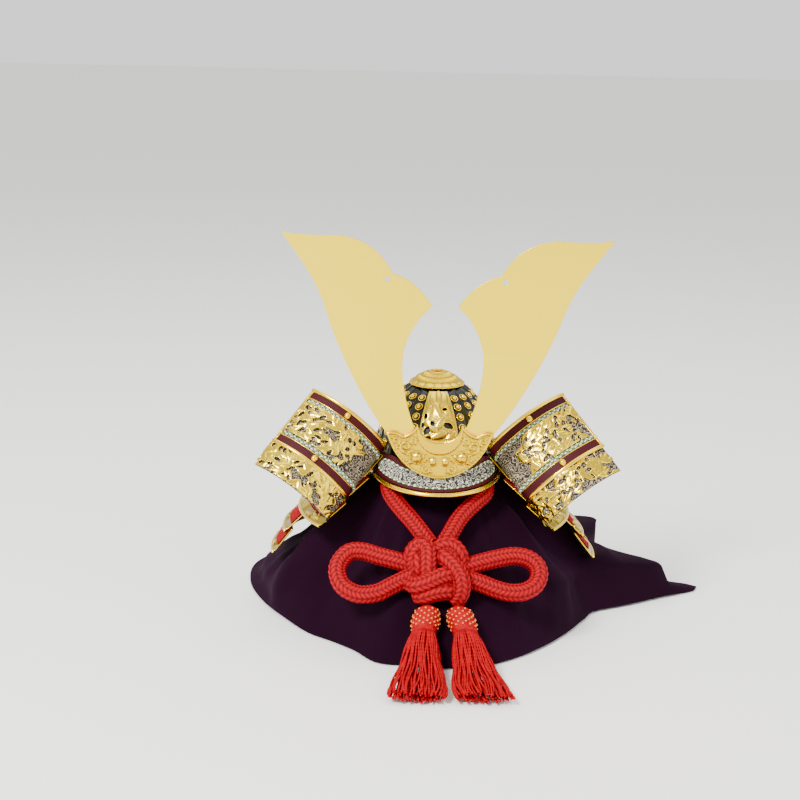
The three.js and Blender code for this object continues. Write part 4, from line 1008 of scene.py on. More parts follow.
def tubeTree():
    tree, start, end = newTree("plainTube", [
        ("Radius", "Float", 0.001), ("Step", "Float", 0.001), ("Sides", "Int", 10)])
    given = start.outputs
    line = addNode(tree, "GeometryNodeMeshToCurve", {0: given["Geometry"]})
    even = addNode(tree, "GeometryNodeResampleCurve", {"Curve": line.outputs[0], "Length": given["Step"]},
                   mode="LENGTH")
    ring = addNode(tree, "GeometryNodeCurvePrimitiveCircle",
                   {"Resolution": given["Sides"], "Radius": given["Radius"]}, mode="RADIUS")
    tube = addNode(tree, "GeometryNodeCurveToMesh",
                   {"Curve": even.outputs[0], "Profile Curve": ring.outputs[0], "Fill Caps": True})
    return endTree(tree, start, end, tube.outputs[0])


plainTube = tubeTree()


def makeTube(name, points, radius, material, step=1.0, sides=10):
    return growNodes(lineObject(name, np.asarray(points)), plainTube, {
        "Radius": radius * toMetres, "Step": step * toMetres, "Sides": sides, "Material": material})


def makeVisorRim():
    us = np.sin((np.pi / 2) * np.linspace(-1, 1, 90))
    path = visorPoint(us, np.ones_like(us), visor["thickness"] / 2)
    rim = makeTube("visorRim", path, visor["rimRadius"], gold, step=0.8, sides=16)
    return dress(rim, "gold", "visor_rim")


makeVisorRim()
print("bowl, crown ring, front plate and visor are made")


# horns: flat gilt plates leaning back a little, each pierced by a heart

horns = {"origin": (0, -65, 150.8), "lean": 96, "thickness": 1.2, "bevel": 0.22, "leftTurn": -1.2,
         "heartAt": (41.2, 119.8), "heartSize": 3.1}
hornStart = (118, 148)
hornCurves = [   # two handles and an end point, each
    ((106, 146.4), (94, 146.6), (82, 147)), ((62, 147.5), (48, 138), (39.5, 121.2)),
    ((31, 120), (20, 113.5), (10, 98.3)), ((18, 92), (27, 79), (29.4, 62)),
    ((30.6, 47), (27, 27), (19, 7.3)), ((18.5, 4.2), (18, 1.1), (17.5, -2)),
    ((19, -4.4), (20.5, -6.7), (22, -9)), ((24.3, -8.7), (26.7, -8.3), (29, -8)),
    ((31, -6.3), (33, -4.7), (35, -3)), ((36.6, -0.7), (38.3, 1.5), (39.9, 3.8)),
    ((52, 19), (72, 54), (83.9, 88.4)), ((91, 111), (98, 121), (118, 148)),
]
heartStart = (0, 0)
heartCurves = [
    ((-0.2, -1.3), (0.4, -1.9), (0.9, -1.3)), ((1.5, -1.2), (1.4, -0.5), (0, 0)),
]


def curvePoints(begin, curves, each=14):
    # points along a run of cubic curves; the last one isn't repeated
    out, a = [], np.array(begin, float)
    for one, two, end in curves:
        b, c, d = (np.array(p, float) for p in (one, two, end))
        for t in np.linspace(0, 1, each, endpoint=False):
            out.append((1 - t) ** 3 * a + 3 * (1 - t) ** 2 * t * b + 3 * (1 - t) * t ** 2 * c + t ** 3 * d)
        a = d
    return np.array(out)


def crestPlane(x, v, n):
    # a point of the horns' plane; n runs out of it towards the front
    lean = radians(horns["lean"])
    ox, oy, oz = horns["origin"]
    x, v, n = np.broadcast_arrays(np.asarray(x, float), np.asarray(v, float), np.asarray(n, float))
    return np.stack([ox + x, oy + v * math.cos(lean) - n * math.sin(lean),
                     oz + v * math.sin(lean) + n * math.cos(lean)], axis=-1)


def cutPlate(name, outlines, thickness, bevel):
    # a flat plate with holes and soft edges, filled between its outlines
    curve = bpy.data.curves.new(name, "CURVE")
    curve.dimensions = "2D"
    curve.fill_mode = "BOTH"
    curve.extrude = thickness / 2 - bevel
    curve.bevel_depth = bevel
    curve.bevel_resolution = 2
    curve.offset = -bevel
    for outline in outlines:
        spline = curve.splines.new("POLY")
        spline.points.add(len(outline) - 1)
        spline.points.foreach_set("co", np.column_stack([outline, np.zeros(len(outline)),
                                                         np.ones(len(outline))]).ravel())
        spline.use_cyclic_u = True
    maker = bpy.data.objects.new(name, curve)
    scene.collection.objects.link(maker)
    bpy.context.view_layer.update()
    graph = bpy.context.evaluated_depsgraph_get()
    mesh = bpy.data.meshes.new_from_object(maker.evaluated_get(graph), depsgraph=graph)
    bpy.data.objects.remove(maker)
    bpy.data.curves.remove(curve)
    return mesh


def meshPoints(mesh):
    points = np.zeros(len(mesh.vertices) * 3, np.float32)
    mesh.vertices.foreach_get("co", points)
    return points.reshape(-1, 3).astype(float)


def makeHorn(name, node, mirror, turn):
    outline = curvePoints(hornStart, hornCurves)
    heart = curvePoints(heartStart, heartCurves, 10) * horns["heartSize"] + horns["heartAt"]
    mesh = cutPlate(name, [outline, heart], horns["thickness"], horns["bevel"])
    flat = meshPoints(mesh)
    x, v = flat[:, 0] * (-1 if mirror else 1), flat[:, 1]
    c, s = math.cos(radians(turn)), math.sin(radians(turn))
    placed = crestPlane(x * c - v * s, x * s + v * c, flat[:, 2])
    mesh.vertices.foreach_set("co", (placed * toMetres).astype(np.float32).ravel())
    mesh.materials.clear()
    mesh.materials.append(paleGold)
    mesh.update()
    horn = bpy.data.objects.new(name, mesh)
    scene.collection.objects.link(horn)
    closeUp(horn)
    return dress(horn, "pale_gold", node)


makeHorn("hornRight", "horn_right", False, 0)
makeHorn("hornLeft", "horn_left", True, horns["leftTurn"])


# crest plate: winged plate with a scroll in low relief, a smooth crescent and four bosses

crest = {"step": 0.5, "back": 0.9, "face": 3.1, "sink": 0.35, "crescentFace": 4.2, "crescentSink": 0.5,
         "rim": 0.55, "rimAt": 0.9, "rimWidth": 0.75, "scroll": 0.85, "scrollWidth": 0.75, "scrollFrom": 1.6,
         "scrollFade": 1.2, "bossAt": (16.5, -14.7), "bossRadius": 4.2, "smallAt": (4.6, -18),
         "smallRadius": 2.6, "dome": 0.8, "petals": 8, "petalDepth": 0.05, "ring": 0.4}
crestStart = (0, -31)
crestCurves = [
    ((13, -31), (26, -23), (34, -8)), ((35.7, -4), (37.3, 0), (39, 4)), ((36, 5), (32, 5), (29, 3)),
    ((27.8, 1.9), (26.4, 1.2), (25, 2)), ((21.2, 3.6), (18.2, 6.2), (16.5, 10.7)),
    ((14, 0), (7, -2.4), (0, -2.4)),
]
crescentStart = (16.4, 9.4)
crescentCurves = [
    ((14, 0.2), (7, -2.8), (0, -2.8)), ((-7, -2.8), (-14, 0.2), (-16.4, 9.4)),
    ((-17.5, -4), (-10, -12.4), (0, -12.4)), ((10, -12.4), (17.5, -4), (16.4, 9.4)),
]
crestScrolls = [   # centre, outer radius, start angle, turns, hand
    {"x": 24.5, "y": -6.5, "radius": 5.4, "start": 210, "turns": 1.35, "hand": 1},
    {"x": 32.0, "y": -2.2, "radius": 3.2, "start": 250, "turns": 1.1, "hand": -1},
    {"x": 9.0, "y": -24.2, "radius": 3.6, "start": 60, "turns": 1.2, "hand": -1},
    {"x": 24.0, "y": -17.3, "radius": 3.0, "start": 170, "turns": 1.1, "hand": 1},
    {"x": 10.5, "y": -15.6, "radius": 2.2, "start": 20, "turns": 1.0, "hand": 1},
    {"x": 18.8, "y": -1.8, "radius": 2.6, "start": 300, "turns": 1.2, "hand": 1},
]


def bothSides(half):
    # the right half of an outline, from bottom to top, with its mirror image
    return np.concatenate([half, (half * (-1, 1))[::-1]])


def insideOf(x, y, outline):
    # which places lie inside a closed outline
    inside = np.zeros(x.shape, bool)
    for (x0, y0), (x1, y1) in zip(outline, np.roll(outline, -1, axis=0)):
        crosses = (y0 > y) != (y1 > y)
        if abs(y1 - y0) > 1e-9:
            inside ^= crosses & (x < (x1 - x0) * (y - y0) / (y1 - y0) + x0)
    return inside


def farFrom(x, y, line):
    # distance of every place from a line's points
    flat = np.stack([x.ravel(), y.ravel()], axis=1)
    out = np.full(len(flat), 1e9)
    for k in range(0, len(line), 64):
        out = np.minimum(out, np.min(np.linalg.norm(flat[:, None] - line[None, k:k + 64], axis=2), axis=1))
    return out.reshape(x.shape)


def fillOutline(outline, step):
    # an even mesh of points inside an outline, with the outline itself as its edge
    low, high = outline.min(axis=0), outline.max(axis=0)
    x, y = np.meshgrid(np.arange(low[0], high[0], step), np.arange(low[1], high[1], step), indexing="ij")
    within = insideOf(x, y, outline) & (farFrom(x, y, outline) > 0.5 * step)
    points = np.concatenate([outline, np.stack([x[within], y[within]], axis=1)])
    edges = [(i, (i + 1) % len(outline)) for i in range(len(outline))]
    found, _, faces, *_ = delaunay_2d_cdt([Vector(p) for p in points], edges, [], 1, 1e-6)
    return np.array([tuple(p) for p in found]), [tuple(face) for face in faces]


def scrollHeight(x, y, scrolls, width):
    height = np.zeros(x.shape)
    for scroll in scrolls:
        t = np.linspace(0, 1, 90)
        angle = radians(scroll["start"]) + scroll["hand"] * 2 * np.pi * scroll["turns"] * t
        radius = scroll["radius"] * (1 - 0.86 * t)
        line = np.stack([scroll["x"] + radius * np.cos(angle), scroll["y"] + radius * np.sin(angle)], axis=1)
        height = np.maximum(height, np.exp(-(farFrom(x, y, line) / width) ** 2))
        for k in range(1, 5):   # four buds along the outside of the scroll
            a = angle[18 * k - 10]
            r = scroll["radius"] * (1.28 - 0.1 * k)
            bud = np.hypot(x - scroll["x"] - r * np.cos(a), y - scroll["y"] - r * np.sin(a))
            height = np.maximum(height, np.exp(-(bud / (width * 1.15)) ** 2))
    return height


def makeCrest():
    outline = bothSides(curvePoints(crestStart, crestCurves, 16))
    points, faces = fillOutline(outline, crest["step"])
    x, y = points[:, 0], points[:, 1]
    edge = farFrom(x, y, outline)
    crescent = curvePoints(crescentStart, crescentCurves, 20)
    inCrescent = insideOf(x, y, crescent)
    nearCrescent = farFrom(x, y, crescent)
    rim = crest["rim"] * np.exp(-((edge - crest["rimAt"]) / crest["rimWidth"]) ** 2)
    relief = crest["scroll"] * scrollHeight(np.abs(x), y, crestScrolls, crest["scrollWidth"])
    relief *= np.clip((edge - crest["scrollFrom"]) / crest["scrollFade"], 0, 1)
    relief *= np.clip(nearCrescent / crest["scrollFade"], 0, 1)
    level = crest["face"] - crest["sink"] * np.clip(edge / 1.5, 0, 1) + rim + relief
    smooth = crest["crescentFace"] - crest["crescentSink"] * np.exp(-(nearCrescent / 0.6) ** 2)
    level = np.where(inCrescent, smooth, level)
    for which in ("boss", "small"):
        (ax, ay), radius = crest[which + "At"], crest[which + "Radius"]
        away = np.hypot(np.abs(x) - ax, y - ay)
        petals = 1 + crest["petalDepth"] * np.cos(crest["petals"] * np.arctan2(y - ay, np.abs(x) - ax))
        dome = radius * crest["dome"] * np.sqrt(np.clip(1 - (away / (radius * petals)) ** 2, 0, 1))
        ringed = crest["ring"] * np.exp(-((away - radius * 1.18) / 0.4) ** 2)
        level = np.maximum(level + ringed, crest["face"] - 0.4 + dome)
    placed = np.concatenate([crestPlane(x, y, level), crestPlane(x, y, crest["back"])])
    n, around = len(points), len(outline)
    faces = faces + [tuple(n + i for i in face[::-1]) for face in faces]
    faces += [(i, n + i, n + (i + 1) % around, (i + 1) % around) for i in range(around)]
    return dress(closeUp(makeMesh("crestPlate", placed, faces, warmGold)), "warm_gold", "crest_plate")


makeCrest()
print("horns and crest plate are made")


# cloth: falls from the stand's head inside the guard and spreads in folds on the floor

cloth = {"cut": 370, "wall": 1.4, "columns": 180, "headRows": 26, "bodyReach": 158, "floorLift": 0.3,
         "under": 9.5, "underFrom": 50, "guardFoot": 42, "puckers": 0.9}
clothHead = [
    {"r": 0, "z": 179.9}, {"r": 20, "z": 172.65}, {"r": 32, "z": 154}, {"r": 24, "z": 134},
    {"r": 23.5, "z": 118}, {"r": 34, "z": 106}, {"r": 46, "z": 101},
]
clothSkirt = [   # share of the way from the head to the hem, in front and at each side, at each height
    {"z": 86, "front": 0.18, "left": 0.17, "right": 0.22, "ridge": 0, "flap": 0},
    {"z": 50, "front": 0.52, "left": 0.49, "right": 0.66, "ridge": 0, "flap": 0},
    {"z": 42.5, "front": 0.59, "left": 0.57, "right": 0.78, "ridge": 0, "flap": 0},
    {"z": 38, "front": 0.65, "left": 0.64, "right": 0.86, "ridge": 0, "flap": 0},
    {"z": 26, "front": 0.75, "left": 0.79, "right": 0.9, "ridge": 1, "flap": 0},
    {"z": 20, "front": 0.8, "left": 0.86, "right": 0.92, "ridge": 1, "flap": 0},
    {"z": 7, "front": 0.93, "left": 0.93, "right": 0.97, "ridge": 1, "flap": 0.3},
    {"z": 1.8, "front": 1.0, "left": 1.0, "right": 1.0, "ridge": 1, "flap": 1.0},
]
clothHem = [   # azimuth and radius of the hem on the floor
    (-180, 172), (-150, 164), (-120, 166), (-105, 151), (-88, 134), (-70, 122), (-53, 119),
    (-40, 117), (-30, 121), (-19, 134), (-8, 133), (8, 136), (20, 132), (30, 127),
    (43, 122), (58, 120), (72, 123), (82, 132), (88, 156), (94, 186), (99, 222),
    (106, 196), (122, 172), (150, 164), (180, 172),
]
lowRidge = {"azimuth": 97, "width": 8, "reach": 42}
clothFolds = [   # azimuth, width in degrees, height in millimetres; below nought it is a hollow
    (-76, 12, 22), (-50, 8, -5), (58, 9, 10), (78, 8, -8), (96, 8, 7),
    (111, 7, -12), (124, 9, 52), (146, 8, -8), (166, 8, 8), (-168, 9, -6),
    (-146, 8, 9), (-122, 9, -7), (-96, 8, 5),
]
guardSeams = [   # half width, half length and height of the neck guard's seams, from the top
    {"x": 47, "y": 52, "z": 128}, {"x": 67, "y": 71, "z": 111}, {"x": 87, "y": 90, "z": 94},
    {"x": 105, "y": 107, "z": 79}, {"x": 117, "y": 118, "z": 62}, {"x": 126, "y": 126, "z": 45},
]


def makeCloth():
    azimuths = np.linspace(-180, 180, cloth["columns"], endpoint=False)
    lean = np.radians(azimuths)
    aside = np.sin(lean) ** 2
    behind = np.where(np.cos(lean) < 0, 1, aside)
    hem = readTable(clothHem, 0, 1, azimuths)
    lastHead = clothHead[-1]
    rows = []
    for t in np.linspace(0.02, len(clothHead) - 1, cloth["headRows"], endpoint=False):
        k = min(int(t), len(clothHead) - 2)
        slide = 0.5 - 0.5 * math.cos(math.pi * (t - k)) if k > 1 else t - k
        r = mix(clothHead[k]["r"], clothHead[k + 1]["r"], slide)
        z = mix(clothHead[k]["z"], clothHead[k + 1]["z"], t - k)
        rows.append((r + 0 * lean, z + 0 * lean, 0 * lean))
    levels = [{"z": lastHead["z"], "front": 0, "left": 0, "right": 0, "ridge": 0, "flap": 0}] + clothSkirt
    heights = np.array([row["z"] for row in levels])
    fallen = [{**row, "down": heights[0] - row["z"]} for row in levels]
    seams = sorted(guardSeams, key=lambda seam: seam["z"])
    for down in np.concatenate([np.linspace(0, 92, 60), np.linspace(93, heights[0] - heights[-1], 12)]):
        front, left, right, ridge, flap = (np.clip(readTable(fallen, "down", key, down), 0, 1)
                                           for key in ("front", "left", "right", "ridge", "flap"))
        leftSide = mix(left, right, np.where(np.cos(lean) < 0, 1 - aside, 0))
        spread = mix(front, np.where(azimuths > 0, right, leftSide), behind)
        fromRidge = (azimuths - lowRidge["azimuth"]) / lowRidge["width"]
        ridge = ridge * lowRidge["reach"] * np.exp(-fromRidge ** 2)
        reach = mix(np.minimum(hem, cloth["bodyReach"] + ridge), hem, flap)
        r = mix(lastHead["r"], reach, spread)
        free = np.sin(np.pi * np.minimum(1, np.maximum(spread, 0))) ** 0.8
        for azimuth, width, height in clothFolds:
            away = (azimuths - azimuth + 180) % 360 - 180
            r = r + height * free * np.exp(-(away / width) ** 2)
        z = heights[0] - down
        limit = np.interp(z, [seam["z"] for seam in seams], [seam["x"] for seam in seams]) - cloth["under"]
        if z >= cloth["guardFoot"]:   # stays inside the neck guard
            r = np.where(np.abs(azimuths) > cloth["underFrom"], np.minimum(r, limit), r)
        rows.append((r, z + 0 * lean, free))
    r = np.array([row[0] for row in rows])
    z = np.array([row[1] for row in rows])
    free = np.array([row[2] for row in rows])
    # small puckers that fade at the neck and on the floor
    turn = np.radians(azimuths)[None, :]
    waves = np.sin(23 * turn + z * 0.05) + 0.7 * np.sin(37 * turn - z * 0.07 + 1.3)
    r = r + cloth["puckers"] * free * waves
    points = np.stack([r * np.sin(turn), -r * np.cos(turn), z], axis=-1)
    points[..., 2] = np.maximum(points[..., 2], cloth["floorLift"] + cloth["wall"])
    sheet = makeMesh("drapedCloth", points, gridFaces(len(rows), len(azimuths), wrapColumns=True), plumCloth)
    closeUp(sheet)
    return dress(thicken(sheet, cloth["wall"]), "plum_cloth", "cloth")


plum = {"light": (27, 2, 20), "dark": (19, 0, 14), "between": (10, 1, 9), "betweenShare": 0.35, "clouds": 22,
        "fine": 1800, "rough": 0.92, "sheen": 0.06, "sheenRough": 0.6, "sheenTint": (130, 70, 130),
        "specular": 0.06, "threads": 620.0, "threadDrift": 2.0, "weaveBump": 0.4, "weaveDepth": 0.00015}


def clothMaterial():
    # dull plum weave
    material, tree, shader = newMaterial("plumCloth")
    where = objectPlace(tree)
    cloudy = noise(tree, where, plum["clouds"], 4)
    base = blendColour(tree, cloudy, srgb(*plum["dark"]), srgb(*plum["light"]))
    fine = noise(tree, where, plum["fine"], 2)
    between = calc(tree, "MULTIPLY", fine, plum["betweenShare"])
    tree.links.new(blendColour(tree, between, base, srgb(*plum["between"])), shader.inputs["Base Color"])
    shader.inputs["Roughness"].default_value = plum["rough"]
    shader.inputs["Sheen Weight"].default_value = plum["sheen"]
    shader.inputs["Sheen Roughness"].default_value = plum["sheenRough"]
    shader.inputs["Sheen Tint"].default_value = srgb(*plum["sheenTint"])
    shader.inputs["Specular IOR Level"].default_value = plum["specular"]
    thread = addNode(tree, "ShaderNodeTexWave",
                     {"Vector": where, "Scale": plum["threads"], "Distortion": plum["threadDrift"]},
                     bands_direction="DIAGONAL").outputs["Fac"]
    weave = calc(tree, "ADD", thread, fine)
    tree.links.new(bump(tree, weave, plum["weaveBump"], plum["weaveDepth"]), shader.inputs["Normal"])
    return material


plumCloth = clothMaterial()
drapedCloth = makeCloth()
print("cloth is draped")


# stitching: short dashes of white and green silk, in turn

stitch = {"length": 2.5, "width": 1.15, "height": 0.6, "pitch": 2.3, "rowGap": 1.15, "slant": 16}


def threadMaterial(name, colour):
    material, tree, shader = newMaterial(name)
    where = objectPlace(tree)
    base = blendColour(tree, noise(tree, where, 700, 2), srgb(*[c * 0.8 for c in colour]), srgb(*colour))
    tree.links.new(base, shader.inputs["Base Color"])
    shader.inputs["Roughness"].default_value = 0.55
    shader.inputs["Sheen Weight"].default_value = 0.2
    return material


whiteSilk = threadMaterial("whiteSilk", (248, 250, 232))
greenSilk = threadMaterial("greenSilk", (84, 140, 52))


def pebble(name, length, width, height, material, sides, rings):
    # a low rounded grain that lies along X
    points = [(0, 0, height)]
    for i in range(1, rings + 1):
        a = math.pi / 2 * i / rings
        for j in range(sides):
            b = 2 * math.pi * j / sides
            points.append((length / 2 * math.sin(a) * math.cos(b), width / 2 * math.sin(a) * math.sin(b),
                           height * math.cos(a)))
    points.append((0, 0, -height * 0.3))
    faces = [(0, 1 + j, 1 + (j + 1) % sides) for j in range(sides)]
    faces += [tuple(1 + i for i in face) for face in gridFaces(rings, sides, wrapColumns=True)]
    last = len(points) - 1
    faces += [(last, last - sides + (j + 1) % sides, last - sides + j) for j in range(sides)]
    return closeUp(makeMesh(name, points, faces, material))


def turnAbout(vectors, axes, angle):
    return vectors * math.cos(angle) + np.cross(axes, vectors) * math.sin(angle)


def stitchRow(name, line, out, shift=0):
    # dashes along an evenly divided line, every second one green; shift 1 is the row beside it, slanted back
    pattern = pebble("dash", stitch["length"], stitch["width"], stitch["height"], whiteSilk, 8, 3)
    way = turnAbout(unit(np.gradient(line, axis=0)), out, radians(stitch["slant"] * (-1 if shift else 1)))
    for k, (label, material) in enumerate((("White", whiteSilk), ("Green", greenSilk))):
        pick = slice((k + shift) % 2, None, 2)
        row = scatterPieces(name + label, pattern, line[pick], out[pick], way[pick], material)
        dress(row, "printed_leather")
    dropPattern(pattern)


def visorStitching():
    # the row follows the visor's edge, a border's width inside it
    line, out = [], []
    us = np.linspace(-visor["stitchShare"], visor["stitchShare"], 400)
    for w, order in ((1, us), (0, us[::-1])):
        across = visorPoint(order, np.zeros_like(order)) - visorPoint(order, np.ones_like(order))
        inset = visor["stitchAt"] / np.linalg.norm(across, axis=1) / (1 if w else visor["steepShare"])
        line.append(visorPoint(order, np.abs(w - inset)))
        down = visorPoint(order, np.abs(w - inset) + 0.02) - line[-1]
        side = np.gradient(line[-1], axis=0) * (1 if w else -1)
        out.append(unit(np.cross(side, down)))
    closed = np.concatenate(line + [line[0][:1]])
    normals = np.concatenate(out + [out[0][:1]])
    normals *= np.sign(normals[:, 2:3])
    run = np.concatenate([[0], np.cumsum(np.linalg.norm(np.diff(closed, axis=0), axis=1))])
    count = int(run[-1] / stitch["pitch"] / 2) * 2
    even = np.linspace(0, run[-1], count, endpoint=False)
    at = np.stack([np.interp(even, run, closed[:, k]) for k in range(3)], axis=1)
    normal = unit(np.stack([np.interp(even, run, normals[:, k]) for k in range(3)], axis=1))
    stitchRow("visorStitch", at, normal)


visorStitching()


# turn-backs: the top lame's ends, bent outwards and back beside the visor

turnBack = {"azimuth": 47.8, "slope": 40.5, "bendEnd": (39.8, -34.4, 139), "bendRadius": 9.3,
            "arcRadius": 52.74, "halfAngle": 38.73, "bendAngle": 93.27, "start": -6.0, "width": 53,
            "wall": 1.2, "columns": 110, "rows": 24, "inset": 1.0, "red": 8.4, "rim": 3.0, "line": 8.7,
            "lineRadius": 0.34, "stitchAt": 10.3, "stud": 2.6, "studHeight": 2.2, "corner": (3.4, 3.0, 1.7),
            "cornerIn": 4.0}
turnBackRolled = [   # the rolled rim's section: across from the edge, lift from the face
    (0.0, 0.2), (0.5, 0.9), (1.3, 1.25), (2.2, 1.1), (2.8, 0.6), (3.0, 0.0), (2.6, -1.5), (1.2, -1.7),
    (0.2, -1.3), (-0.1, -0.5),
]
turnBackStrip = [   # the end strip's section: back from the end, lift from the face
    (-2.2, 0.05), (-2.0, 0.55), (-1.2, 0.75), (-0.3, 0.55), (0.1, 0.0), (0.1, -1.3), (-1.4, -1.4),
]
bendAngle = radians(turnBack["bendAngle"])
bendLength = turnBack["bendRadius"] * bendAngle
arcLength = 2 * turnBack["arcRadius"] * radians(turnBack["halfAngle"])
turnBack["end"] = bendLength + arcLength


def turnBackPoint(side, s, across, lift):
    # s runs along the section from the bend, across down the slope, lift out of the face
    s, across, lift = np.broadcast_arrays(*(np.asarray(value, float) for value in (s, across, lift)))
    a, d = radians(turnBack["azimuth"]), radians(turnBack["slope"])
    out = np.array([side * math.sin(a), -math.cos(a), 0])
    generator = out * math.cos(d) - np.array([0, 0, math.sin(d)])
    normal = out * math.sin(d) + np.array([0, 0, math.cos(d)])
    forward = np.array([-side * math.cos(a), -math.sin(a), 0])
    bx, by, bz = turnBack["bendEnd"]
    r, big = turnBack["bendRadius"], turnBack["arcRadius"]
    turn = np.where(s <= 0, 0, np.where(s <= bendLength, s / r, bendAngle + (s - bendLength) / big))
    endX, endY = r * math.sin(bendAngle), r * (1 - math.cos(bendAngle))
    x = np.where(s <= 0, s, np.where(s <= bendLength, r * np.sin(turn),
                                     endX + big * (np.sin(turn) - math.sin(bendAngle))))
    y = np.where(s <= 0, 0, np.where(s <= bendLength, r * (1 - np.cos(turn)),
                                     endY - big * (np.cos(turn) - math.cos(bendAngle))))
    x = x + lift * np.sin(turn)
    y = y - lift * np.cos(turn)
    return (np.array([side * bx, by, bz]) + (x - endX)[..., None] * forward + (y - endY)[..., None] * normal
            + across[..., None] * generator)


def turnBackOut(side, s, across):
    return unit(turnBackPoint(side, s, across, 1.0) - turnBackPoint(side, s, across, 0.0))


def makeTurnBack(side, label):
    t = turnBack
    along = np.linspace(t["start"], t["end"], t["columns"])
    s, across = np.meshgrid(along, np.linspace(t["inset"], t["width"] - t["inset"], t["rows"]), indexing="ij")
    edge = np.minimum(across, t["width"] - across)
    top, under = (turnBackPoint(side, s, across, lift) for lift in (0, -t["wall"]))
    face = slab("turnBackLeather" + label, top, under, guardLeather, uv=np.stack([s, edge], axis=-1))
    dress(face, "printed_leather", "turnback_" + label.lower())

    def fromEdge(distance, flip):
        return t["width"] - distance if flip else distance

    trims = []
    half = np.array([bendLength + arcLength / 2])
    for flip in (False, True):
        rows = [turnBackPoint(side, along, fromEdge(a, flip), lift) for a, lift in turnBackRolled]
        trims.append(sweep("turnBackRim", rows, gold))
        line = turnBackPoint(side, along, fromEdge(t["line"], flip), 0.12)
        trims.append(makeTube("turnBackLine", line, t["lineRadius"], gold, step=1.2, sides=6))
        at = np.array([fromEdge((t["rim"] + t["red"]) / 2, flip)])
        stud = pebble("turnBackStud", 2 * t["stud"], 2 * t["stud"], t["studHeight"], gold, 20, 8)
        spot = turnBackPoint(side, half, at, 0.25)
        way = unit(turnBackPoint(side, half + 1, at, 0.25) - spot)
        out = turnBackOut(side, half, at)
        trims.append(scatterPieces("turnBackDome", stud, spot, out, way, gold))
        dropPattern(stud)
        corner = pebble("cornerBead", *t["corner"], gold, 12, 5)
        inwards = -t["cornerIn"] if flip else t["cornerIn"]
        spot = turnBackPoint(side, np.array([t["end"] - 1.6]), at + inwards, 0.3)
        trims.append(scatterPieces("cornerDome", corner, spot, out, way, gold))
        dropPattern(corner)
    acrossStrip = np.linspace(t["rim"], t["width"] - t["rim"], 20)
    rows = [turnBackPoint(side, t["end"] + back, acrossStrip, lift) for back, lift in turnBackStrip]
    trims.append(sweep("endStrip", rows, gold))
    dress(joinPieces("turnBackTrim" + label, trims), "gold")
    stitched = np.arange(bendLength * 0.4, t["end"] - 2.6, stitch["pitch"])
    for flip in (False, True):
        for k in range(2):
            at = fromEdge(t["stitchAt"] + k * stitch["rowGap"], flip) + 0 * stitched
            stitchRow("turnBackStitch" + label, turnBackPoint(side, stitched, at, 0.1),
                      turnBackOut(side, stitched, at), shift=k)


leafPlate = {"top": 12.4, "bottom": 40.8, "start": bendLength + 8, "end": turnBack["end"] - 2.4, "step": 0.48,
             "lift": 0.35, "thickness": 0.7, "fans": 50, "length": 15, "width": 4.1, "rise": 1.1, "holes": 34}
lowPlate = {"top": 52.9, "bottom": 74.4, "start": 3.0, "end": turnBack["end"], "step": 0.48,
            "lift": -0.9, "thickness": 0.6, "fans": 46, "length": 14, "width": 3.8, "rise": 1.0, "holes": 24}
lowBacking = {"start": 2, "top": 51.8, "bottom": 74.5, "face": -1.5, "back": -1.9, "columns": 70, "rows": 8}


def makeLeafPlate(name, p, side, seed):
    wide, high = p["bottom"] - p["top"], p["end"] - p["start"]

    def surface(x, y, lift):
        return turnBackPoint(side, p["start"] + y, p["top"] + x, p["lift"] + lift)

    blades = randomBlades(seed, wide, high, p["fans"], p["length"], p["width"], 0.0, p["rise"])
    return reliefPiece(name, wide, high, p["step"], blades, surface, leafGold, p["thickness"],
                       randomHoles(seed, wide, high, p["holes"]))


def makeLowBacking(side, label):
    b = lowBacking
    s, across = np.meshgrid(np.linspace(b["start"], turnBack["end"], b["columns"]),
                            np.linspace(b["top"], b["bottom"], b["rows"]), indexing="ij")
    top, under = (turnBackPoint(side, s, across, b[key]) for key in ("face", "back"))
    backing = slab("lowPlateBack" + label, top, under, guardLeather, uv=np.stack([s, across], axis=-1))
    return dress(backing, "printed_leather", "turnback_low_" + label.lower())


for side, label, seed in ((-1, "Left", 21), (1, "Right", 34)):
    makeTurnBack(side, label)
    dress(makeLeafPlate("leafPlate" + label, leafPlate, side, seed), "gold", "leaf_plate_" + label.lower())
    makeLowBacking(side, label)
    dress(makeLeafPlate("lowPlate" + label, lowPlate, side, seed + 7), "gold")
print("turn-backs are made")


# neck guard: five lames with leaves in low relief and a rolled edge, hung on silk lacing

guard = {"overlap": 5, "tuck": 4, "wall": 1.2, "beadLength": 2.6, "bead": 1.2, "front": 57, "side": 81,
         "end": 16, "pitch": 1.3, "endPitch": 0.8, "middlePitch": 1.9, "seed": 50, "fanArea": 120,
         "leafLength": 12, "leafWidth": 4.0, "leafBase": 0.25, "relief": 1.0, "groundShade": 0.45}
lace = {"gap": 0.3, "thick": 1.2, "strip": 2.9, "share": 0.6, "stitch": 3.0, "slant": 3.2}


def guardDrop(k):
    # how far lame k reaches outwards and down, between its two seams
    upper, lower = guardSeams[k], guardSeams[k + 1]
    return lower["x"] - upper["x"], upper["z"] - lower["z"]


def guardLength(k):
    return math.hypot(*guardDrop(k))


def guardSlope(k):
    out, down = guardDrop(k)
    return math.atan2(down, out)


def lamePoint(k, azimuth, d, lift):
    # d runs down the lame's slope from its upper seam
    upper, lower = guardSeams[k], guardSeams[k + 1]
    t, a = d / guardLength(k), np.radians(azimuth)
    aside = lift * math.sin(guardSlope(k))
    return np.stack([(mix(upper["x"], lower["x"], t) + aside) * np.sin(a),
                     -(mix(upper["y"], lower["y"], t) + aside) * np.cos(a),
                     mix(upper["z"], lower["z"], t) + lift * math.cos(guardSlope(k)) + 0 * a], axis=-1)


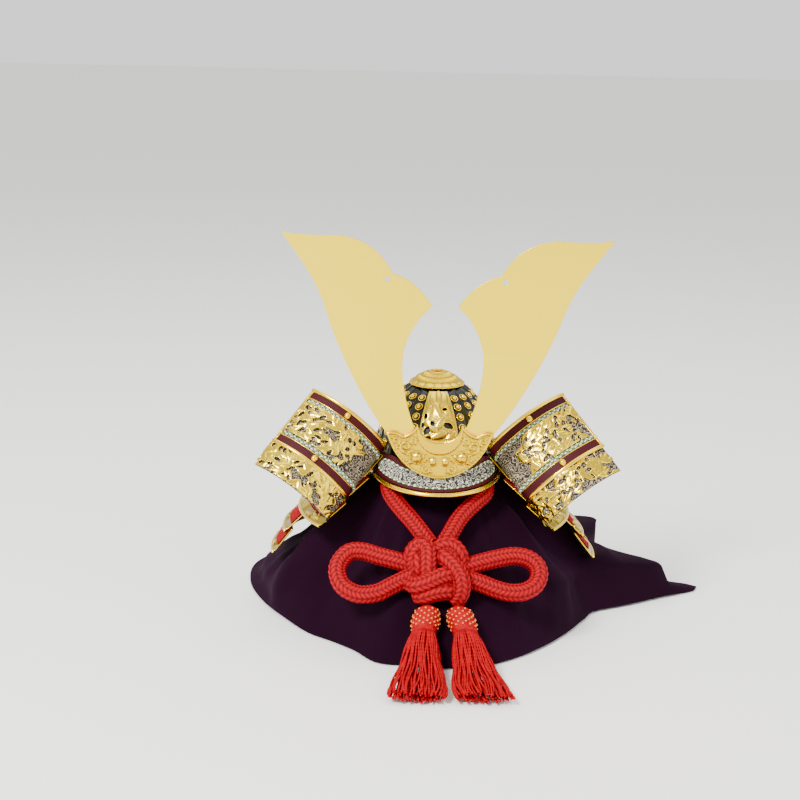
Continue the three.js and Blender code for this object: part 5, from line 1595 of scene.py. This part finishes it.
def lameLift(k, d):
    # how far a lame's upper part lies under the one above it
    if k == 0:
        return 0 * d
    tuck = guard["tuck"] + guard["overlap"] * math.tan(guardSlope(k) - guardSlope(k - 1))
    return -tuck * (1 - (d + guard["overlap"]) / (guardLength(k) + guard["overlap"]))


def makeLame(k):
    g = guard
    first = g["front"] if k < 3 else g["side"]
    radius = (guardSeams[k]["x"] + guardSeams[k + 1]["x"]) / 2
    sweepLength = radians(360 - 2 * first) * radius
    length = guardLength(k)
    d = np.linspace(1.5 if k == 0 else -g["overlap"], length, int(length / g["pitch"]) + 6)
    beadRows = length - np.array([2.6, 2.3, 1.8, 1.3, 0.8, 0.3, 0.0])
    d = np.concatenate([d[d < length - g["beadLength"]], beadRows])
    last, arc = 360 - first, radians(g["end"]) * radius   # the ends, which show in front, have the finer mesh
    atEnd, between = int(arc / g["endPitch"]), int((sweepLength - 2 * arc) / g["middlePitch"])
    turns = np.concatenate([
        np.linspace(first, first + g["end"], atEnd, endpoint=False),
        np.linspace(first + g["end"], last - g["end"], between, endpoint=False),
        np.linspace(last - g["end"], last, atEnd)])
    azimuth, down = np.meshgrid(turns, d, indexing="ij")
    run = (azimuth - first) / (360 - 2 * first) * sweepLength
    blades = randomBlades(g["seed"] + k, sweepLength, length, int(sweepLength * length / g["fanArea"]),
                          g["leafLength"], g["leafWidth"], g["leafBase"], g["relief"])
    leaves, shade = bladeHeight(run, down, blades)
    shade = np.where(np.isnan(leaves), g["groundShade"], shade)
    leaves = np.where(np.isnan(leaves), 0, leaves)
    rim = length - down
    half = g["beadLength"] / 2
    bead = g["bead"] * np.sqrt(np.clip(1 - ((rim - half) / half) ** 2, 0, 1))
    relief = np.where(rim < g["beadLength"], bead, leaves * np.clip(rim - g["beadLength"], 0, 1))
    shade = np.where(rim < g["beadLength"] + 0.4, 0, shade)
    top = lamePoint(k, azimuth, down, lameLift(k, down) + relief)
    under = lamePoint(k, azimuth, down, lameLift(k, down) - g["wall"])
    lame = slab("lame%d" % (k + 1), top, under, leafGold)
    storeOnTop(lame, "shade", shade)
    return dress(lame, "gold", "lame_%d" % (k + 1))


def braidStrip(length, material):
    # one flat braid: two rows of slanted stitches that meet in the middle
    width, thick = lace["strip"] * 0.94, lace["thick"]
    along = np.linspace(-length / 2, length / 2, max(8, int(length)))
    across = np.linspace(-width / 2, width / 2, 5)
    x, y = np.meshgrid(along, across, indexing="ij")
    rounded = np.sqrt(np.clip(1 - (y / (width / 2)) ** 2, 0, 1))
    plies = x / lace["stitch"] + np.abs(y) / lace["slant"]
    chevron = 0.5 + 0.5 * np.cos(2 * np.pi * plies)
    top = np.stack([x, y, thick * (0.35 + 0.35 * rounded + 0.3 * chevron * rounded)], axis=-1)
    strip = slab("braidStrip", top, np.stack([x, y, 0 * x], axis=-1), material)
    # this relief sets where the silk gets painted shade between the plies
    storeOnTop(strip, "relief", chevron * 0.6 + 0.4 * rounded)
    storeOnTop(strip, "ply", plies)
    return strip


def makeLacing(k):
    lower = k + 1
    first = guard["front"] if lower < 3 else guard["side"]
    upperEdge, lowerEdge = -guard["overlap"], guardLength(lower) * lace["share"]
    radius = guardSeams[lower]["x"]
    count = int(radians(360 - 2 * first) * radius / lace["strip"])
    azimuth = np.linspace(first + 1.0, 359 - first, count)
    ends = [lamePoint(lower, azimuth, d, lameLift(lower, np.array(float(d))) + lace["gap"])
            for d in (upperEdge, lowerEdge)]
    way = unit(ends[1] - ends[0])
    side = unit(np.stack([np.cos(np.radians(azimuth)), np.sin(np.radians(azimuth)), 0 * azimuth], axis=1))
    out = unit(np.cross(side, way))
    out *= np.sign(out[:, 2:3])
    pattern = braidStrip(lowerEdge - upperEdge, redSilk)
    lacing = scatterPieces("lacing%d" % (k + 1), pattern, (ends[0] + ends[1]) / 2, out, way, redSilk)
    dropPattern(pattern)
    return dress(lacing, "red_silk", "lacing_%d" % (k + 1))


for k in range(5):
    makeLame(k)
for k in range(4):
    makeLacing(k)
print("neck guard is laced")


# tassels: a netted head on the knot's end and a skirt of twisted silk that fans out on the floor

tassel = {"headRows": 3.2, "netRows": 5, "netColumns": 11, "net": 0.55, "dot": 0.75, "dotReach": 1.11,
          "headMesh": (40, 88), "strand": 0.95, "twist": 6.0, "flatten": 0.6, "step": 1.5, "sides": 5,
          "wave": 0.9, "floor": 0.4, "left": (-7.5, -17), "right": (14.5, 29)}   # sideways, top and end
tasselRows = [
    {"row": 0, "width": 6, "depth": 5.5, "y": -111, "z": 38.7},
    {"row": 1, "width": 8.5, "depth": 7.5, "y": -117, "z": 33},
    {"row": 2, "width": 9, "depth": 8, "y": -122, "z": 28.5},
    {"row": 3, "width": 8, "depth": 7.5, "y": -127, "z": 24.5},
    {"row": 4, "width": 11, "depth": 9, "y": -135, "z": 19},
    {"row": 5, "width": 14, "depth": 8.5, "y": -149, "z": 12},
    {"row": 6, "width": 17, "depth": 6.5, "y": -166, "z": 8},
    {"row": 7, "width": 20, "depth": 5.5, "y": -184, "z": 6.5},
    {"row": 8, "width": 20, "depth": 4.5, "y": -196, "z": 5.5},
]
tasselLayers = [   # share of the section's size, strands
    {"share": 0.96, "count": 54}, {"share": 0.7, "count": 32}, {"share": 0.36, "count": 12},
]


def strandTree():
    # two plies twisted about each other along every line of the seed
    tree, start, end = newTree("twistedStrand", [
        ("Radius", "Float", 0.001), ("Twist", "Float", 0.006), ("Flatten", "Float", 0.6),
        ("Step", "Float", 0.001), ("Sides", "Int", 6)])
    given = start.outputs
    line = addNode(tree, "GeometryNodeMeshToCurve", {0: given["Geometry"]})
    even = addNode(tree, "GeometryNodeResampleCurve", {"Curve": line.outputs[0], "Length": given["Step"]},
                   mode="LENGTH")
    run = addNode(tree, "GeometryNodeSplineParameter").outputs["Length"]
    turns = calc(tree, "MULTIPLY", calc(tree, "DIVIDE", run, given["Twist"]), 2 * math.pi)
    tilted = addNode(tree, "GeometryNodeSetCurveTilt", {"Curve": even.outputs[0], "Tilt": turns})
    ring = addNode(tree, "GeometryNodeCurvePrimitiveCircle",
                   {"Resolution": given["Sides"], "Radius": given["Radius"]}, mode="RADIUS")
    narrow = addNode(tree, "ShaderNodeCombineXYZ", {0: 1.0, 1: given["Flatten"], 2: 1.0})
    section = addNode(tree, "GeometryNodeTransform",
                      {"Geometry": ring.outputs[0], "Scale": narrow.outputs[0]})
    tube = addNode(tree, "GeometryNodeCurveToMesh",
                   {"Curve": tilted.outputs[0], "Profile Curve": section.outputs[0], "Fill Caps": True})
    return endTree(tree, start, end, tube.outputs[0])


twistedStrand = strandTree()


tasselColours = {"bright": (188, 0, 18), "deep": (104, 0, 8), "net": (240, 140, 6)}


def fringeMaterial():
    # plain silk thread, brighter and deeper in patches
    material, tree, shader = newMaterial("fringeSilk")
    where = objectPlace(tree)
    base = blendColour(tree, noise(tree, where, 260, 3), srgb(*tasselColours["deep"]),
                       srgb(*tasselColours["bright"]))
    tree.links.new(base, shader.inputs["Base Color"])
    shader.inputs["Roughness"].default_value = 0.6
    shader.inputs["Specular IOR Level"].default_value = 0.08
    return material


fringeSilk = fringeMaterial()
netSilk = threadMaterial("netSilk", tasselColours["net"])


def tasselPlace(t, topX, endX):
    # centre, half width, half depth and upward direction of the section at row t
    width, depth, y, z = (readTable(tasselRows, "row", key, t) for key in ("width", "depth", "y", "z"))
    last = tasselRows[-1]["row"]
    x = mix(topX, endX, (np.asarray(t, float) / last) ** 1.2)
    step = 0.05
    dy = readTable(tasselRows, "row", "y", t + step) - readTable(tasselRows, "row", "y", t - step)
    dz = readTable(tasselRows, "row", "z", t + step) - readTable(tasselRows, "row", "z", t - step)
    up = unit(np.stack([0 * dy, -dz, dy], axis=-1))
    up = up * np.where(up[..., 2:3] < 0, -1.0, 1.0)
    return np.stack([x, y, z], axis=-1), width, depth, up


def tasselHead(topX, endX):
    # an egg of silk under a raised net, closed at both ends
    long, around = tassel["headMesh"]
    rows = np.linspace(0, tassel["headRows"], long)
    turn = np.linspace(0, 2 * np.pi, around, endpoint=False)
    centre, width, depth, up = tasselPlace(rows, topX, endX)
    grid = []
    for i, t in enumerate(rows):
        level = t / tassel["headRows"] * tassel["netRows"]
        phase = turn / (2 * np.pi) * tassel["netColumns"]
        lattice = np.maximum(np.cos(np.pi * (phase + level)) ** 8, np.cos(np.pi * (phase - level)) ** 8)
        swell = 1 + (0.35 + tassel["net"] * lattice) / 8
        close = min(1.0, math.sqrt(max(t, 0.0) / 0.5))
        offset = (swell * close * np.cos(turn) * width[i])[:, None] * np.array([1.0, 0, 0])
        offset = offset + (swell * close * np.sin(turn) * depth[i])[:, None] * up[i]
        grid.append(centre[i] + offset)
    faces = gridFaces(long, around, wrapColumns=True)
    faces += [tuple(range(around))[::-1], tuple((long - 1) * around + j for j in range(around))]
    return closeUp(makeMesh("tasselHead", np.array(grid), faces, fringeSilk))


def netDots(label, topX, endX):
    # a bead of bright thread where the head's net crosses itself
    points, out = [], []
    for k in range(2, 2 * tassel["netRows"] - 1):
        t = k / 2 / tassel["netRows"] * tassel["headRows"]
        centre, width, depth, up = tasselPlace(np.array([t]), topX, endX)
        for j in range(tassel["netColumns"]):
            a = 2 * math.pi * (j + (0.5 if k % 2 else 0.0)) / tassel["netColumns"]
            way = math.cos(a) * np.array([1.0, 0, 0]) + math.sin(a) * up[0]
            reach = math.cos(a) * width[0] * np.array([1.0, 0, 0]) + math.sin(a) * depth[0] * up[0]
            points.append(centre[0] + reach * tassel["dotReach"])
            out.append(way)
    pattern = pebble("netDot", 2 * tassel["dot"], 2 * tassel["dot"], tassel["dot"], netSilk, 8, 3)
    out = np.array(out)
    way = np.cross(out, (0.3, 0.9, 0.1))
    dots = scatterPieces("netDots" + label, pattern, np.array(points), out, way, netSilk)
    dropPattern(pattern)
    return dress(dots, "red_silk")


def tasselSkirt(label, topX, endX, seed):
    # strands that wave a little more the further they fall; some end sooner
    pick = random.Random(seed)
    rows = np.linspace(tassel["headRows"] - 0.5, tasselRows[-1]["row"], 46)
    centre, width, depth, up = tasselPlace(rows, topX, endX)
    points, edges = [], []
    for layer in tasselLayers:
        for j in range(layer["count"]):
            a = 2 * math.pi * (j + pick.uniform(-0.25, 0.25)) / layer["count"]
            share = layer["share"] * pick.uniform(0.94, 1.0)
            phase, rate = pick.uniform(0, 6.28), pick.uniform(0.6, 1.3)
            shorter = pick.randrange(4)
            fade = np.clip((rows - rows[0]) / 3, 0, 1)
            bend = a + 0.07 * fade * np.sin(rows * rate + phase)
            aside = share * width * np.cos(bend) + tassel["wave"] * fade * np.sin(rows * 2.1 + phase)
            lift = share * (depth - 0.9) * np.sin(bend)
            line = centre + aside[:, None] * np.array([1.0, 0, 0]) + lift[:, None] * up
            line[:, 2] = np.maximum(line[:, 2], tassel["strand"] + tassel["floor"])
            line = line[:len(line) - shorter]
            first = len(points)
            points.extend(line)
            edges.extend((first + i, first + i + 1) for i in range(len(line) - 1))
    seedLines = makeMesh("tasselSkirt" + label, np.array(points), [], None, edges=edges)
    return growNodes(seedLines, twistedStrand, {
        "Radius": tassel["strand"] * toMetres, "Twist": tassel["twist"] * toMetres,
        "Flatten": tassel["flatten"], "Step": tassel["step"] * toMetres, "Sides": tassel["sides"],
        "Material": fringeSilk})


def makeTassel(label, topX, endX, seed):
    head = tasselHead(topX, endX)
    skirt = tasselSkirt(label, topX, endX, seed)
    piece = dress(joinPieces("tassel" + label, [head, skirt]), "red_silk", "tassel_" + label.lower())
    return [piece, netDots(label, topX, endX)]


tassels = makeTassel("Left", *tassel["left"], 5) + makeTassel("Right", *tassel["right"], 9)
print("tassels are hung")


# stand: plain turned wood, with the shape that it is packed with

wood = {"tones": [(0.3, srgb(150, 108, 66)), (0.5, srgb(186, 142, 92)), (0.7, srgb(204, 164, 112))],
        "stretch": (18, 140, 18), "grain": 3, "rough": 0.5, "grainBump": 0.2, "grainDepth": 0.0002}


def woodMaterial():
    material, tree, shader = newMaterial("paleWood")
    where = objectPlace(tree)
    stretched = addNode(tree, "ShaderNodeMapping", {"Vector": where, "Scale": wood["stretch"]}).outputs[0]
    grain = noise(tree, stretched, wood["grain"], 5)
    tree.links.new(ramp(tree, grain, wood["tones"]), shader.inputs["Base Color"])
    shader.inputs["Roughness"].default_value = wood["rough"]
    tree.links.new(bump(tree, grain, wood["grainBump"], wood["grainDepth"]), shader.inputs["Normal"])
    return material


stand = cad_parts["stand"]
stand.data.materials.clear()
stand.data.materials.append(woodMaterial())
